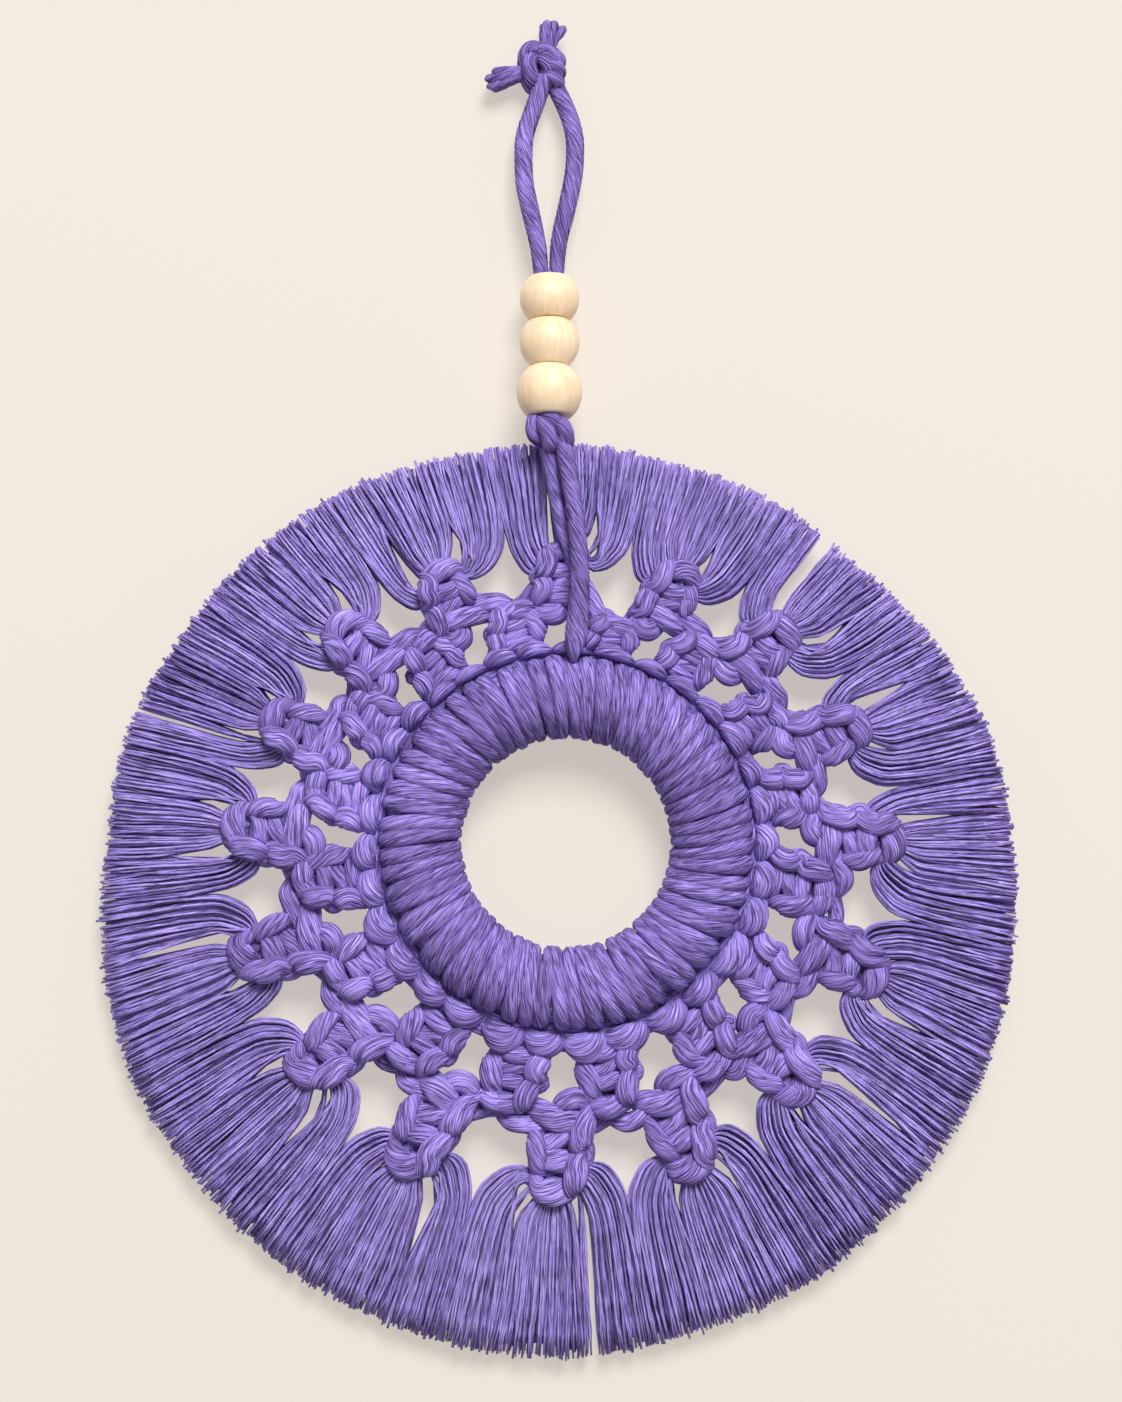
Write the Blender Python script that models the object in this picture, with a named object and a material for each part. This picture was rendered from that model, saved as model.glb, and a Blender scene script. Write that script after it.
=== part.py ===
"""A round macrame wall hanging: a cord-wrapped ring, a net of square knots tied round it,
a fringe of combed-out cord ends, and a hanging loop strung with three wooden beads.

Metres, +Z up, the front faces -Y. The origin is the hang point, inside the top of the loop.
Angles round the ring are in degrees from straight down and grow towards +X.
"""

import math

import bmesh
import bpy
import numpy as np

MM = 0.001

# ---- driving dimensions ----------------------------------------------------------------------
CORD_RADIUS = 2.4 * MM  # the loop's cotton cord, 4.8 mm across
SEAT_GAP = 0.42 * MM  # between pieces that touch on the real hanging

RING_X, RING_Y, RING_Z = 4.95 * MM, -6.0 * MM, -202.95 * MM  # the ring's centre
RING_RADIUS = 40.2 * MM  # to the middle of its wrapped tube
RING_TUBE = 10.9 * MM  # the tube's own radius, over the cord
RING_SIDES = 8
WRAPS = 64  # two for each of the 32 doubled cords
WRAP_RIDGE = 0.45 * MM  # how far a wrap stands above and its grooves lie below the tube
PAIR_GROOVE = 0.6 * MM  # how much deeper the groove between two doubled cords is

NET_INNER, NET_OUTER = 52 * MM, 140 * MM  # radii between which the net leans back
NET_INNER_Y, NET_OUTER_Y = -5.0 * MM, 0.0 * MM

KNOT_HALF_WIDTH = 9.7 * MM
KNOT_HALF_DEPTH = 4.8 * MM
KNOT_ROWS = 9  # rings of points along a knot, high and low in turn
KNOT_SIDES = 7
KNOT_RIDGE = 0.10  # a crossing cord's height, as a share of the knot's size
KNOT_FLAT = -0.2  # its back lies flatter than its front by this share of its depth
KNOT_SLANT = 0.12  # how far along the knot its crossing cords climb, as a share of its length

BIGHT_GAP = 0.45  # degrees between the cord bights of two knots
BIGHT_INNER = RING_RADIUS + RING_TUBE + WRAP_RIDGE + SEAT_GAP  # where the bights start

FRINGE_RADIUS = 126 * MM  # the fringe is trimmed to a circle
FRINGE_DX, FRINGE_DROP = -1.5 * MM, 16.5 * MM  # its centre, beside and below the ring's

STRAND_HALF = 2.5 * MM  # half the width of a cord between two knots
CORD_SIDES = 5
LOCK_GAP = 0.40 * MM  # between the locks of one bundle

CHAIN_LEAN = math.radians(10)  # the beads' line comes forward on its way down
CHAIN_X, CHAIN_Y, CHAIN_Z = 0.45 * MM, -5.0 * MM, -54.2 * MM  # centre of the top bead
BEAD_SIDES = 14
BORE_RADIUS = 3.85 * MM
CORE_RADIUS = 3.05 * MM  # both cords, squeezed side by side in the bore
CORE_RIDGE = 0.25 * MM

# The knots next to the ring: angle, and the radii in mm where each starts and ends.
FIRST_ROW = (
    (-12.6, 57.8, 74.8), (10.5, 56.4, 74.8), (35.5, 57.2, 74.8), (56.8, 58.3, 73.7),
    (80.0, 56.4, 73.7), (101.8, 55.8, 69.3), (122.5, 55.8, 68.8), (146.0, 54.5, 67.4),
    (168.0, 53.5, 62.7), (193.5, 54.5, 66.8), (216.0, 54.5, 68.8), (237.5, 56.4, 70.4),
    (257.8, 56.4, 72.0), (278.8, 57.2, 74.3), (301.0, 58.3, 74.3), (325.0, 58.3, 75.6),
)

# The knots that head the fringe, each between two of the first row: the same columns.
SECOND_ROW = (
    (-1.2, 73.4, 98.2), (21.7, 73.4, 98.5), (44.0, 72.4, 96.2), (67.0, 72.4, 94.9),
    (91.0, 70.4, 92.1), (112.3, 68.4, 88.6), (134.8, 67.0, 85.8), (157.3, 65.6, 82.5),
    (181.0, 66.0, 81.7), (205.8, 66.2, 83.9), (227.0, 68.4, 88.0), (247.5, 69.4, 89.4),
    (267.8, 72.2, 93.5), (290.0, 72.4, 96.2), (311.5, 72.4, 98.2), (334.0, 74.6, 101.2),
)

# Each fan's three bundles at the rim, as angles: left from and to, centre from and to,
# right from and to. A row goes with the same row of SECOND_ROW.
FANS = (
    (-14.6, -9.6, -8.8, 2.4, 3.1, 9.4),
    (10.0, 15.2, 15.5, 26.8, 27.1, 32.6),
    (33.2, 38.0, 38.3, 48.8, 50.0, 55.2),
    (55.7, 61.0, 61.4, 71.4, 71.7, 76.9),
    (77.3, 83.8, 84.1, 92.9, 93.4, 99.3),
    (99.7, 105.0, 105.4, 114.9, 115.4, 121.0),
    (121.4, 126.4, 127.0, 138.4, 140.1, 145.0),
    (145.4, 151.8, 152.2, 161.9, 162.2, 167.2),
    (167.7, 173.5, 174.1, 181.2, 185.2, 190.8),
    (191.3, 197.8, 198.3, 209.8, 210.6, 215.3),
    (215.7, 221.0, 221.4, 231.8, 232.2, 235.9),
    (236.3, 241.9, 242.3, 252.3, 253.4, 256.7),
    (257.1, 261.9, 262.3, 272.2, 272.6, 277.8),
    (278.2, 284.8, 285.2, 294.9, 295.2, 298.8),
    (299.2, 305.9, 306.3, 317.9, 318.2, 323.3),
    (323.7, 328.9, 329.3, 340.0, 340.3, 344.9),
)
SIDE_LOCKS, CENTRE_LOCKS = 2, 4
LOCK_THICKNESS = (5.0 * MM, 5.0 * MM, 4.4 * MM, 2.6 * MM)  # from its root to its cut end

# Beads down the chain: distance of the centre below the top bead's, radius, and the lengths
# above and below the centre, in mm.
BEADS = (
    ("bead_top", 0.0, 8.15, 6.0, 6.0),
    ("bead_middle", 12.34, 8.2, 6.0, 6.0),
    ("bead_bottom", 25.94, 8.95, 7.3, 6.6),
)

# Cord paths, as x, y, z in mm from the hang point.
LOOP_LEFT = (
    (-0.6, 0.0, 7.4), (-3.6, -0.3, -0.8), (-6.3, -0.9, -8.8), (-6.7, -1.5, -15.7),
    (-6.3, -2.2, -22.8), (-4.7, -2.9, -30.3), (-2.6, -3.8, -40.2), (-1.7, -4.2, -46.6),
)
LOOP_RIGHT = (
    (1.4, 0.8, 6.1), (5.2, 0.3, -1.9), (7.2, -0.8, -8.8), (7.4, -1.5, -15.7),
    (6.7, -2.2, -22.0), (4.9, -2.9, -30.3), (3.0, -3.7, -38.9), (2.4, -4.2, -46.6),
)
FREE_END_UP = ((-0.8, 0.5, 11.5), (-0.6, 0.5, 16.0), (0.6, 0.3, 22.8))
FREE_END_LEFT = ((-2.5, 0.0, 8.5), (-7.5, 0.0, 8.0), (-12.0, 0.2, 6.4), (-16.4, 0.2, 6.6))
FRONT_LEG = (
    (3.0, -11.8, -90.5), (5.2, -12.4, -98.0), (7.2, -12.9, -110.5), (8.0, -13.2, -123.2),
    (8.1, -13.1, -135.9), (7.4, -12.6, -145.2), (6.9, -10.6, -151.4),
)
BACK_LEG = (
    (-0.1, -10.2, -91.5), (-0.7, -8.0, -95.5), (-0.9, -4.2, -100.0), (-0.9, 0.0, -104.5),
    (-0.4, 2.5, -110.0), (0.5, 3.1, -118.0), (1.6, 3.2, -136.0), (3.0, 3.0, -146.0),
    (3.4, 0.5, -152.3),
)
TOP_KNOT = ((-1.5, 0.0, 3.4), (-1.5, 0.0, 16.4), 5.6, 5.0)  # start, end, half width, depth
LOWER_KNOT = ((0.8, -10.9, -87.4), (0.8, -12.1, -95.2), 6.2, 4.9)


# ---- places and meshes -----------------------------------------------------------------------
def place(angle, radius, depth):
    """Points at an angle and a radius round the ring, and a depth along Y."""
    turn = np.radians(angle)
    x = RING_X + radius * np.sin(turn)
    z = RING_Z - radius * np.cos(turn)
    return np.stack(np.broadcast_arrays(x, depth, z), axis=-1)


def net_depth(radius):
    """Where the middle of the net lies along Y: it leans back towards the wall on its way out."""
    return np.interp(radius, (NET_INNER, NET_OUTER), (NET_INNER_Y, NET_OUTER_Y))


def fringe_radius(angle):
    """The trimmed circle of the fringe, as a radius round the ring's centre."""
    turn = math.radians(angle)
    along = FRINGE_DX * math.sin(turn) + FRINGE_DROP * math.cos(turn)
    across = FRINGE_DX * math.cos(turn) - FRINGE_DROP * math.sin(turn)
    return along + math.sqrt(FRINGE_RADIUS**2 - across**2)


def unit(vectors):
    """Vectors of length one."""
    return vectors / np.linalg.norm(vectors, axis=-1, keepdims=True)


def smooth(points, step):
    """A Catmull-Rom curve through points in mm, with a point about every step, in metres."""
    points = np.array(points) * MM
    padded = np.vstack((2 * points[0] - points[1], points, 2 * points[-1] - points[-2]))
    runs = []
    for a, b, c, d in zip(padded, padded[1:], padded[2:], padded[3:]):
        count = max(1, round(float(np.linalg.norm(c - b)) / step))
        t = (np.arange(count) / count)[:, None]
        runs.append(
            b + 0.5 * t * (c - a + t * (2 * a - 5 * b + 4 * c - d + t * (3 * b - 3 * c + d - a)))
        )
    return np.vstack((*runs, points[-1:]))


def skin(rings, closed=False):
    """The points and faces of a surface through rings of points, capped unless it closes."""
    count, sides, _ = rings.shape
    row, side = np.meshgrid(np.arange(count if closed else count - 1), np.arange(sides))
    row, side = row.ravel(), side.ravel()
    after, beside = (row + 1) % count, (side + 1) % sides
    faces = np.stack(
        (row * sides + side, row * sides + beside, after * sides + beside, after * sides + side), 1
    ).tolist()
    if not closed:
        last = (count - 1) * sides
        faces += [list(range(sides)), list(range(last, last + sides))]
    return rings.reshape(-1, 3), faces


def tube(path, half_width, half_depth, sides, ridge=0.0, twist=0.0, start=0.5):
    """A tube along a path, flat where its depth differs from its width.

    Every second corner stands out by ridge, the corners turn by twist radians a metre, and
    the first corner lies this share of a side round from the edge.
    """
    path = np.asarray(path)
    forward = unit(np.gradient(path, axis=0))
    across = unit(np.cross(forward, (0.0, 1.0, 0.0)))
    outward = np.cross(across, forward)
    lengths = np.linalg.norm(np.diff(path, axis=0), axis=1)
    along = np.concatenate(([0.0], np.cumsum(lengths)))
    turn = 2 * np.pi * (np.arange(sides) + start) / sides + twist * along[:, None]
    swell = ridge * (-1.0) ** np.arange(sides)
    wide = (np.broadcast_to(half_width, along.shape)[:, None] + swell) * np.cos(turn)
    deep = (np.broadcast_to(half_depth, along.shape)[:, None] + swell) * np.sin(turn)
    rings = path[:, None] + wide[..., None] * across[:, None] + deep[..., None] * outward[:, None]
    return skin(rings)


def knot(start, end, half_width, half_depth, grow=0.0):
    """A knot between two points: a flattened barrel ridged by the cords that cross it.

    The ridges climb from one side to the other, and two lobes on the right stand proudest.
    Grow makes it that much larger all round.
    """
    start, end = np.asarray(start), np.asarray(end)
    forward = unit(end - start)
    across = unit(np.cross(forward, (0.0, 1.0, 0.0)))
    outward = np.cross(across, forward)
    share = np.linspace(0, 1, KNOT_ROWS)[:, None]
    turn = 2 * np.pi * (np.arange(KNOT_SIDES) + 0.5) / KNOT_SIDES
    rows = (-1.0) ** (np.arange(KNOT_ROWS)[:, None] + 1)
    barrel = 0.74 + 0.30 * np.sin(np.pi * share) ** 0.7 + KNOT_RIDGE * rows * np.sin(np.pi * share)
    front = np.cos(turn)[None, :] > 0
    side = np.sin(turn)[None, :]
    lobes = sum(
        0.24 * np.exp(-(((share - at) / 0.16) ** 2) - ((side - 0.45) / 0.4) ** 2)
        for at in (0.26, 0.70)
    )
    wide = (half_width * barrel + grow) * side
    deep = (half_depth * (barrel + np.where(front, lobes, KNOT_FLAT)) + grow) * np.cos(turn)
    climb = KNOT_SLANT * side * np.sin(np.pi * share)
    length = np.linalg.norm(end - start)
    along = (share + climb) * length + grow * (2 * share - 1)
    rings = (
        start
        + along[..., None] * forward
        + wide[..., None] * across
        - deep[..., None] * outward
    )
    return skin(rings)


def ring_knot(row, grow=0.0):
    """A knot of the net, from its row of a table."""
    angle, start, end = row
    radii = np.array((start, end)) * MM
    return knot(*place(angle, radii, net_depth(radii)), KNOT_HALF_WIDTH, KNOT_HALF_DEPTH, grow)


def solid(name, shells, material, helper=False):
    """An object of one or more closed shells. A helper shapes another object and isn't shown."""
    shape = bmesh.new()
    for points, faces in shells:
        corners = [shape.verts.new(point) for point in points]
        for face in faces:
            shape.faces.new([corners[i] for i in face])
    bmesh.ops.recalc_face_normals(shape, faces=shape.faces)
    mesh = bpy.data.meshes.new(name)
    shape.to_mesh(mesh)
    shape.free()
    mesh.materials.append(material)
    thing = bpy.data.objects.new(name, mesh)
    bpy.context.scene.collection.objects.link(thing)
    if helper:
        thing.hide_render = True
        thing.display_type = "WIRE"
    else:
        mesh.shade_smooth()
        mesh.set_sharp_from_angle(angle=math.radians(50))
    return thing


def combine(thing, shells, operation):
    """Joins shells to an object, or cuts them from it, with an exact Boolean."""
    name = f"{thing.name}_{operation.lower()}"
    change = thing.modifiers.new(name, "BOOLEAN")
    change.operation = operation
    change.solver = "EXACT"
    change.use_self = True
    change.object = solid(name, shells, thing.data.materials[0], helper=True)


def finish(name, colour, roughness):
    """A plain material with this colour."""
    material = bpy.data.materials.new(name)
    material.use_nodes = True
    shader = material.node_tree.nodes["Principled BSDF"]
    shader.inputs["Base Color"].default_value = (*colour, 1.0)
    shader.inputs["Roughness"].default_value = roughness
    shader.inputs["Metallic"].default_value = 0.0
    return material


# ---- the ring --------------------------------------------------------------------------------
def wrapped_ring(cotton):
    """The ring under its 64 wraps: a tube bent round, with a ridge for each wrap of cord."""
    columns = np.arange(2 * WRAPS)
    ridge = np.where(columns % 2, -WRAP_RIDGE, WRAP_RIDGE)
    ridge = ridge - np.where(columns % 4 == 3, PAIR_GROOVE, 0.0)
    turn = 2 * np.pi * np.arange(RING_SIDES) / RING_SIDES
    radius = RING_TUBE + ridge[:, None]
    from_centre = RING_RADIUS + radius * np.cos(turn)
    angle = (columns * 180 / WRAPS)[:, None]
    solid(
        "wrapped_ring",
        [skin(place(angle, from_centre, RING_Y + radius * np.sin(turn)), closed=True)],
        cotton,
    )


# ---- the net ---------------------------------------------------------------------------------
def bight(left, right, outer):
    """One doubled cord's bight, a short fat bar lying along the ring's outer edge."""
    half = (outer - BIGHT_INNER) / (1 + math.cos(math.pi / CORD_SIDES))
    angle = np.linspace(left + BIGHT_GAP, right - BIGHT_GAP, 3)
    swell = np.array((0.8, 1.0, 0.8))
    path = place(angle, outer - half, net_depth(outer - half))
    return tube(path, half * swell, STRAND_HALF * swell, CORD_SIDES)


def strand_pair(first, second, side):
    """The two cords that leave a first-row knot for the second-row knot on one side of it."""
    angle, start, end = first
    to_angle, to_start, to_end = second
    shells = []
    half = STRAND_HALF * np.array((1.0, 1.0, 0.6))
    for lane, front in ((0.0, 1.2), (3.4, -0.6)):
        radii = np.array((end - 7.5 + lane, end - 2.0 + lane / 2, to_start + 2.4 + lane)) * MM
        turn = np.degrees(np.array((3.0, 8.6)) * MM / radii[:2])
        inward = math.degrees(3.0 * MM / radii[2])
        angles = (angle + side * turn[0], angle + side * turn[1], to_angle - side * inward)
        depth = net_depth(radii) - front * MM
        shells.append(tube(place(np.array(angles), radii, depth), half, half, CORD_SIDES))
    return shells


def turned(table, index):
    """A row of a table read round the ring: past either end, its angle is a full turn on."""
    laps, index = divmod(index, len(table))
    return (table[index][0] + 360 * laps, *table[index][1:])


def halfway(index, following):
    """The angle between two neighbours of the first row."""
    return (turned(FIRST_ROW, index)[0] + turned(FIRST_ROW, following)[0]) / 2


def first_row_knot(index, cotton):
    """A knot next to the ring, with its two bights and the cords to both knots below it."""
    row = FIRST_ROW[index]
    angle, start, end = row
    thing = solid(f"first_knot_{index + 1:02d}", [ring_knot(row)], cotton)
    left, right = halfway(index - 1, index), halfway(index, index + 1)
    outer = (start + 2.0) * MM
    shells = [bight(left, angle, outer), bight(angle, right, outer)]
    before, after = turned(SECOND_ROW, index - 1), SECOND_ROW[index]
    shells += strand_pair(row, before, -1) + strand_pair(row, after, 1)
    combine(thing, shells, "UNION")
    combine(thing, [ring_knot(before, SEAT_GAP), ring_knot(after, SEAT_GAP)], "DIFFERENCE")


def lock(angles, radii, half_widths, thickness):
    """One lock of the fringe: three-sided, flat at the back, with a ridge down its front."""
    radii, thickness = np.array(radii), np.array(thickness)
    path = place(np.array(angles), radii, net_depth(radii))
    flat = 1 / math.cos(math.pi / 6)
    return tube(path, flat * np.array(half_widths), 2 * thickness / 3, 3, start=0.25)


def half_lock(width, radius):
    """Half the width of a lock that has this many degrees of the circle at a radius."""
    return math.radians(width) * radius / 2 - LOCK_GAP / 2


def centre_locks(row, left, right):
    """The middle bundle: it leaves the end of the knot and spreads to its share of the rim."""
    angle, _, end = row
    width = (right - left) / CENTRE_LOCKS
    shells = []
    for number in range(CENTRE_LOCKS):
        rim = left + (number + 0.5) * width
        spread = 2 * (number + 0.5) / CENTRE_LOCKS - 1
        radii = ((end - 4) * MM, (end + 6) * MM, fringe_radius(rim))
        root = angle + spread * math.degrees(3.6 * MM / radii[0])
        angles = (root, 0.15 * root + 0.85 * rim, rim)
        halves = (1.5 * MM, 0.85 * half_lock(width, radii[1]), half_lock(width, radii[2]))
        shells.append(lock(angles, radii, halves, LOCK_THICKNESS[1:]))
    return shells


def side_locks(row, near, far):
    """A side bundle: it leaves the knot's side, bends round and runs out beside the next fan."""
    angle, start, end = row
    side = math.copysign(1, far - near)
    width = abs(far - near) / SIDE_LOCKS
    shells = []
    for number in range(SIDE_LOCKS):
        rim = near + side * (number + 0.5) * width
        root_radius = (start + (0.68 - 0.08 * number) * (end - start)) * MM
        shoulder_radius = (end - 3.0 - 2.5 * number) * MM
        radii = (root_radius, shoulder_radius, (end + 3) * MM, fringe_radius(rim))
        root = angle + side * math.degrees(5.5 * MM / root_radius)
        angles = (root, 0.22 * angle + 0.78 * rim, 0.03 * angle + 0.97 * rim, rim)
        halves = (
            1.6 * MM,
            0.9 * half_lock(width, radii[1]),
            0.95 * half_lock(width, radii[2]),
            half_lock(width, radii[3]),
        )
        shells.append(lock(angles, radii, halves, LOCK_THICKNESS))
    return shells


def tassel(index, cotton):
    """A second-row knot as the head of its three bundles of fringe."""
    row = SECOND_ROW[index]
    left_from, left_to, centre_from, centre_to, right_from, right_to = FANS[index]
    thing = solid(f"tassel_{index + 1:02d}", [ring_knot(row)], cotton)
    locks = centre_locks(row, centre_from, centre_to)
    locks += side_locks(row, left_to, left_from) + side_locks(row, right_from, right_to)
    combine(thing, locks, "UNION")


# ---- the hanging loop ------------------------------------------------------------------------
def chain_point(distance):
    """A point on the beads' line, this far below the top bead's centre."""
    return np.array(
        (
            CHAIN_X,
            CHAIN_Y - distance * math.sin(CHAIN_LEAN),
            CHAIN_Z - distance * math.cos(CHAIN_LEAN),
        )
    )


def bead(name, distance, radius, above, below, wood):
    """A wooden bead: a ball cut flat where it meets its neighbours, with a bore down its line."""
    centre = chain_point(distance * MM)
    top, foot = math.asin(above / radius), math.asin(below / radius)
    climb = np.linspace(-foot, top, 7)
    radii = np.concatenate((radius * MM * np.cos(climb), (BORE_RADIUS, BORE_RADIUS)))
    heights = np.concatenate((radius * MM * np.sin(climb), (above * MM, -below * MM)))
    turn = 2 * np.pi * np.arange(BEAD_SIDES) / BEAD_SIDES
    up = np.array((0.0, math.sin(CHAIN_LEAN), math.cos(CHAIN_LEAN)))
    back = np.array((0.0, math.cos(CHAIN_LEAN), -math.sin(CHAIN_LEAN)))
    rings = (
        centre
        + heights[:, None, None] * up
        + (radii[:, None] * np.cos(turn))[..., None] * np.array((1.0, 0.0, 0.0))
        + (radii[:, None] * np.sin(turn))[..., None] * back
    )
    solid(name, [skin(rings, closed=True)], wood)


def rope(path, radius, taper=1.0):
    """A length of twisted cord along a path in mm, narrowing to taper times its radius."""
    points = smooth(path, 4.5 * MM)
    radii = radius * np.linspace(1, taper, len(points))
    return tube(points, radii, radii, 6, ridge=0.2 * MM, twist=120.0)


def loose_end(path):
    """A cord's cut end, opening into a brush."""
    points = smooth(path, 5 * MM)
    radii = CORD_RADIUS * np.interp(np.linspace(0, 1, len(points)), (0, 0.5, 1), (1, 1, 1.5))
    return tube(points, radii, radii * np.linspace(1, 0.7, len(points)), 8, ridge=0.3 * MM)


def cord_knot(start, end, half_width, half_depth):
    """An overhand knot, from its row in mm."""
    ends = np.array((start, end)) * MM
    return knot(*ends, half_width * MM, half_depth * MM)


def hanging_cord(cotton):
    """The doubled cord: loop, top knot with its free ends, and the lower knot with two legs."""
    thing = solid("hanging_cord", [cord_knot(*TOP_KNOT)], cotton)
    core = tube(
        [chain_point(d * MM) for d in (-9.0, 10.0, 20.0, 34.5)],
        CORE_RADIUS,
        CORE_RADIUS,
        8,
        ridge=CORE_RIDGE,
    )
    shells = [
        rope(LOOP_LEFT, CORD_RADIUS, 0.72),
        rope(LOOP_RIGHT, CORD_RADIUS, 0.72),
        core,
        loose_end(FREE_END_UP),
        loose_end(FREE_END_LEFT),
        cord_knot(*LOWER_KNOT),
        rope(FRONT_LEG, CORD_RADIUS),
        rope(BACK_LEG, 0.85 * CORD_RADIUS),
    ]
    combine(thing, shells, "UNION")


def clear_scene():
    """Removes whatever the scene holds."""
    for thing in list(bpy.data.objects):
        bpy.data.objects.remove(thing, do_unlink=True)


def main():
    """Builds every piece of the hanging."""
    clear_scene()
    cotton = finish("violet cotton", (0.20, 0.13, 0.47), 0.9)
    wood = finish("pale wood", (0.82, 0.66, 0.45), 0.55)
    wrapped_ring(cotton)
    for index in range(len(FIRST_ROW)):
        first_row_knot(index, cotton)
        tassel(index, cotton)
    for row in BEADS:
        bead(*row, wood)
    hanging_cord(cotton)


main()
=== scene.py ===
# %% [markdown]
# # A round macrame wall hanging, strand by strand
#
# The real thing is a ring wound with violet cotton cord, a net of square knots tied round it,
# a fringe of combed-out cord ends and a loop of cord strung with three wooden beads.
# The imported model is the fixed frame: it has each sub-part's place and size. This lesson gives
# every sub-part its real surface: cords with their twist, threads and plain wood.

# %% Load the frame
import math

import bpy
import numpy as np
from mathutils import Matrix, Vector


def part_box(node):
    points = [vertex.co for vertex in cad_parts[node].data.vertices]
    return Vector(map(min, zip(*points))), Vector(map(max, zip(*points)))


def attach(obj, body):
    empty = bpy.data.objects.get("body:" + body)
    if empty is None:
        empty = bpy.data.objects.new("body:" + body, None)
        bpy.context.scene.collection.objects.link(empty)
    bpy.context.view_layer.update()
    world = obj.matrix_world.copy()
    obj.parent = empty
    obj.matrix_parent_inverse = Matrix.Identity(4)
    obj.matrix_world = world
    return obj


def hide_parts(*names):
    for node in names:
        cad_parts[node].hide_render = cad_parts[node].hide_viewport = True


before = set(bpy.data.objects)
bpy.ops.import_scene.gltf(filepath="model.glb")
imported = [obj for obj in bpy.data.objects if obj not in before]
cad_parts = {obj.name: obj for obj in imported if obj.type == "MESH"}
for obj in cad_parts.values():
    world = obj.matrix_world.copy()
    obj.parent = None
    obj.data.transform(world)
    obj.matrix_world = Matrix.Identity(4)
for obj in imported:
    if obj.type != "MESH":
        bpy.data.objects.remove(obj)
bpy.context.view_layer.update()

MM = 0.001  # lengths below are in millimetres until a mesh is made
print("sub-parts in the frame:", len(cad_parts))

# %% [markdown]
# ## Where things are
#
# The ring's centre and its tube come from the frame itself. Every knot has an angle round the
# ring, counted from straight down and growing towards +X, and two radii. A handmade net is
# never even, so these are short tables, in the same order as the frame's nodes.

# %% The ring's centre and the knots' places
ring_low, ring_high = (np.array(corner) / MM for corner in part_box("wrapped_ring"))
RING_CENTRE = (ring_low + ring_high) / 2
TUBE_RADIUS = (ring_high[1] - ring_low[1]) / 2
RING_RADIUS = (ring_high[0] - ring_low[0]) / 2 - TUBE_RADIUS

# Angle, and the radii where the knot starts and ends.
FIRST_ROW = np.array((
    (-12.6, 57.8, 74.8), (10.5, 56.4, 74.8), (35.5, 57.2, 74.8), (56.8, 58.3, 73.7),
    (80.0, 56.4, 73.7), (101.8, 55.8, 69.3), (122.5, 55.8, 68.8), (146.0, 54.5, 67.4),
    (168.0, 53.5, 62.7), (193.5, 54.5, 66.8), (216.0, 54.5, 68.8), (237.5, 56.4, 70.4),
    (257.8, 56.4, 72.0), (278.8, 57.2, 74.3), (301.0, 58.3, 74.3), (325.0, 58.3, 75.6),
))
SECOND_ROW = np.array((
    (-1.2, 73.4, 98.2), (21.7, 73.4, 98.5), (44.0, 72.4, 96.2), (67.0, 72.4, 94.9),
    (91.0, 70.4, 92.1), (112.3, 68.4, 88.6), (134.8, 67.0, 85.8), (157.3, 65.6, 82.5),
    (181.0, 66.0, 81.7), (205.8, 66.2, 83.9), (227.0, 68.4, 88.0), (247.5, 69.4, 89.4),
    (267.8, 72.2, 93.5), (290.0, 72.4, 96.2), (311.5, 72.4, 98.2), (334.0, 74.6, 101.2),
))
# Each fan's three bundles at the rim: left from, to, centre from, to, right from, to.
FANS = np.array((
    (-14.9, -9.3, -9.3, 2.9, 3.8, 10.0), (9.6, 15.4, 15.2, 27.1, 26.9, 33.0),
    (32.8, 38.2, 38.0, 49.8, 49.6, 55.6), (55.3, 61.1, 60.9, 71.6, 71.4, 77.3),
    (76.9, 84.1, 83.9, 93.1, 92.9, 99.7), (99.4, 105.1, 104.9, 115.1, 114.9, 121.3),
    (120.9, 126.9, 126.7, 137.9, 140.3, 145.2), (144.9, 152.1, 151.9, 162.1, 161.9, 167.6),
    (167.4, 173.9, 173.7, 183.2, 183.0, 191.2), (190.9, 198.1, 197.9, 210.3, 210.1, 215.7),
    (215.4, 221.1, 220.9, 232.1, 231.9, 236.3), (236.0, 242.1, 241.9, 252.6, 253.4, 257.2),
    (256.8, 262.1, 261.9, 272.4, 272.2, 278.2), (277.9, 285.0, 284.8, 295.1, 294.9, 299.2),
    (298.9, 306.1, 305.9, 318.1, 317.9, 323.7), (323.4, 329.1, 328.9, 340.3, 340.1, 345.4),
))
# Partings in the fringe: angle, the radii where it starts and ends, and half its width.
PARTINGS = (
    (-7.9, 95, 113, 1.1), (40.3, 92, 106, 0.9),
    (1.9, 98, 114, 1.2), (17, 97.6, 115.5, 0.9), (26.5, 96.3, 110, 0.9), (49.3, 94.9, 123.8, 2.0),
    (61.7, 94.9, 114, 2.2), (94.0, 90.2, 112, 2.1), (115.3, 88, 104, 2.6), (127.9, 88.6, 100.4, 1.8),
    (153, 83, 92.1, 1.5), (174.6, 79.2, 92, 2.4), (183, 81.1, 108, 1.4), (200, 83.3, 92.1, 2.8),
    (210.5, 82.5, 99, 2.1), (222.3, 86.6, 99, 2.0), (231.7, 85.3, 93.5, 1.0),
    (242.9, 88, 93.5, 1.0), (251.3, 89.4, 110, 1.3), (263.4, 90.8, 103.1, 1.9),
    (271.9, 92.1, 109, 2.2), (285.3, 94.9, 129.3, 2.0), (294, 93.5, 103.1, 1.7),
    (307, 97.6, 110, 1.8), (317.2, 96.3, 116.9, 2.1), (339.2, 101.8, 123, 2.8),
)
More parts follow.
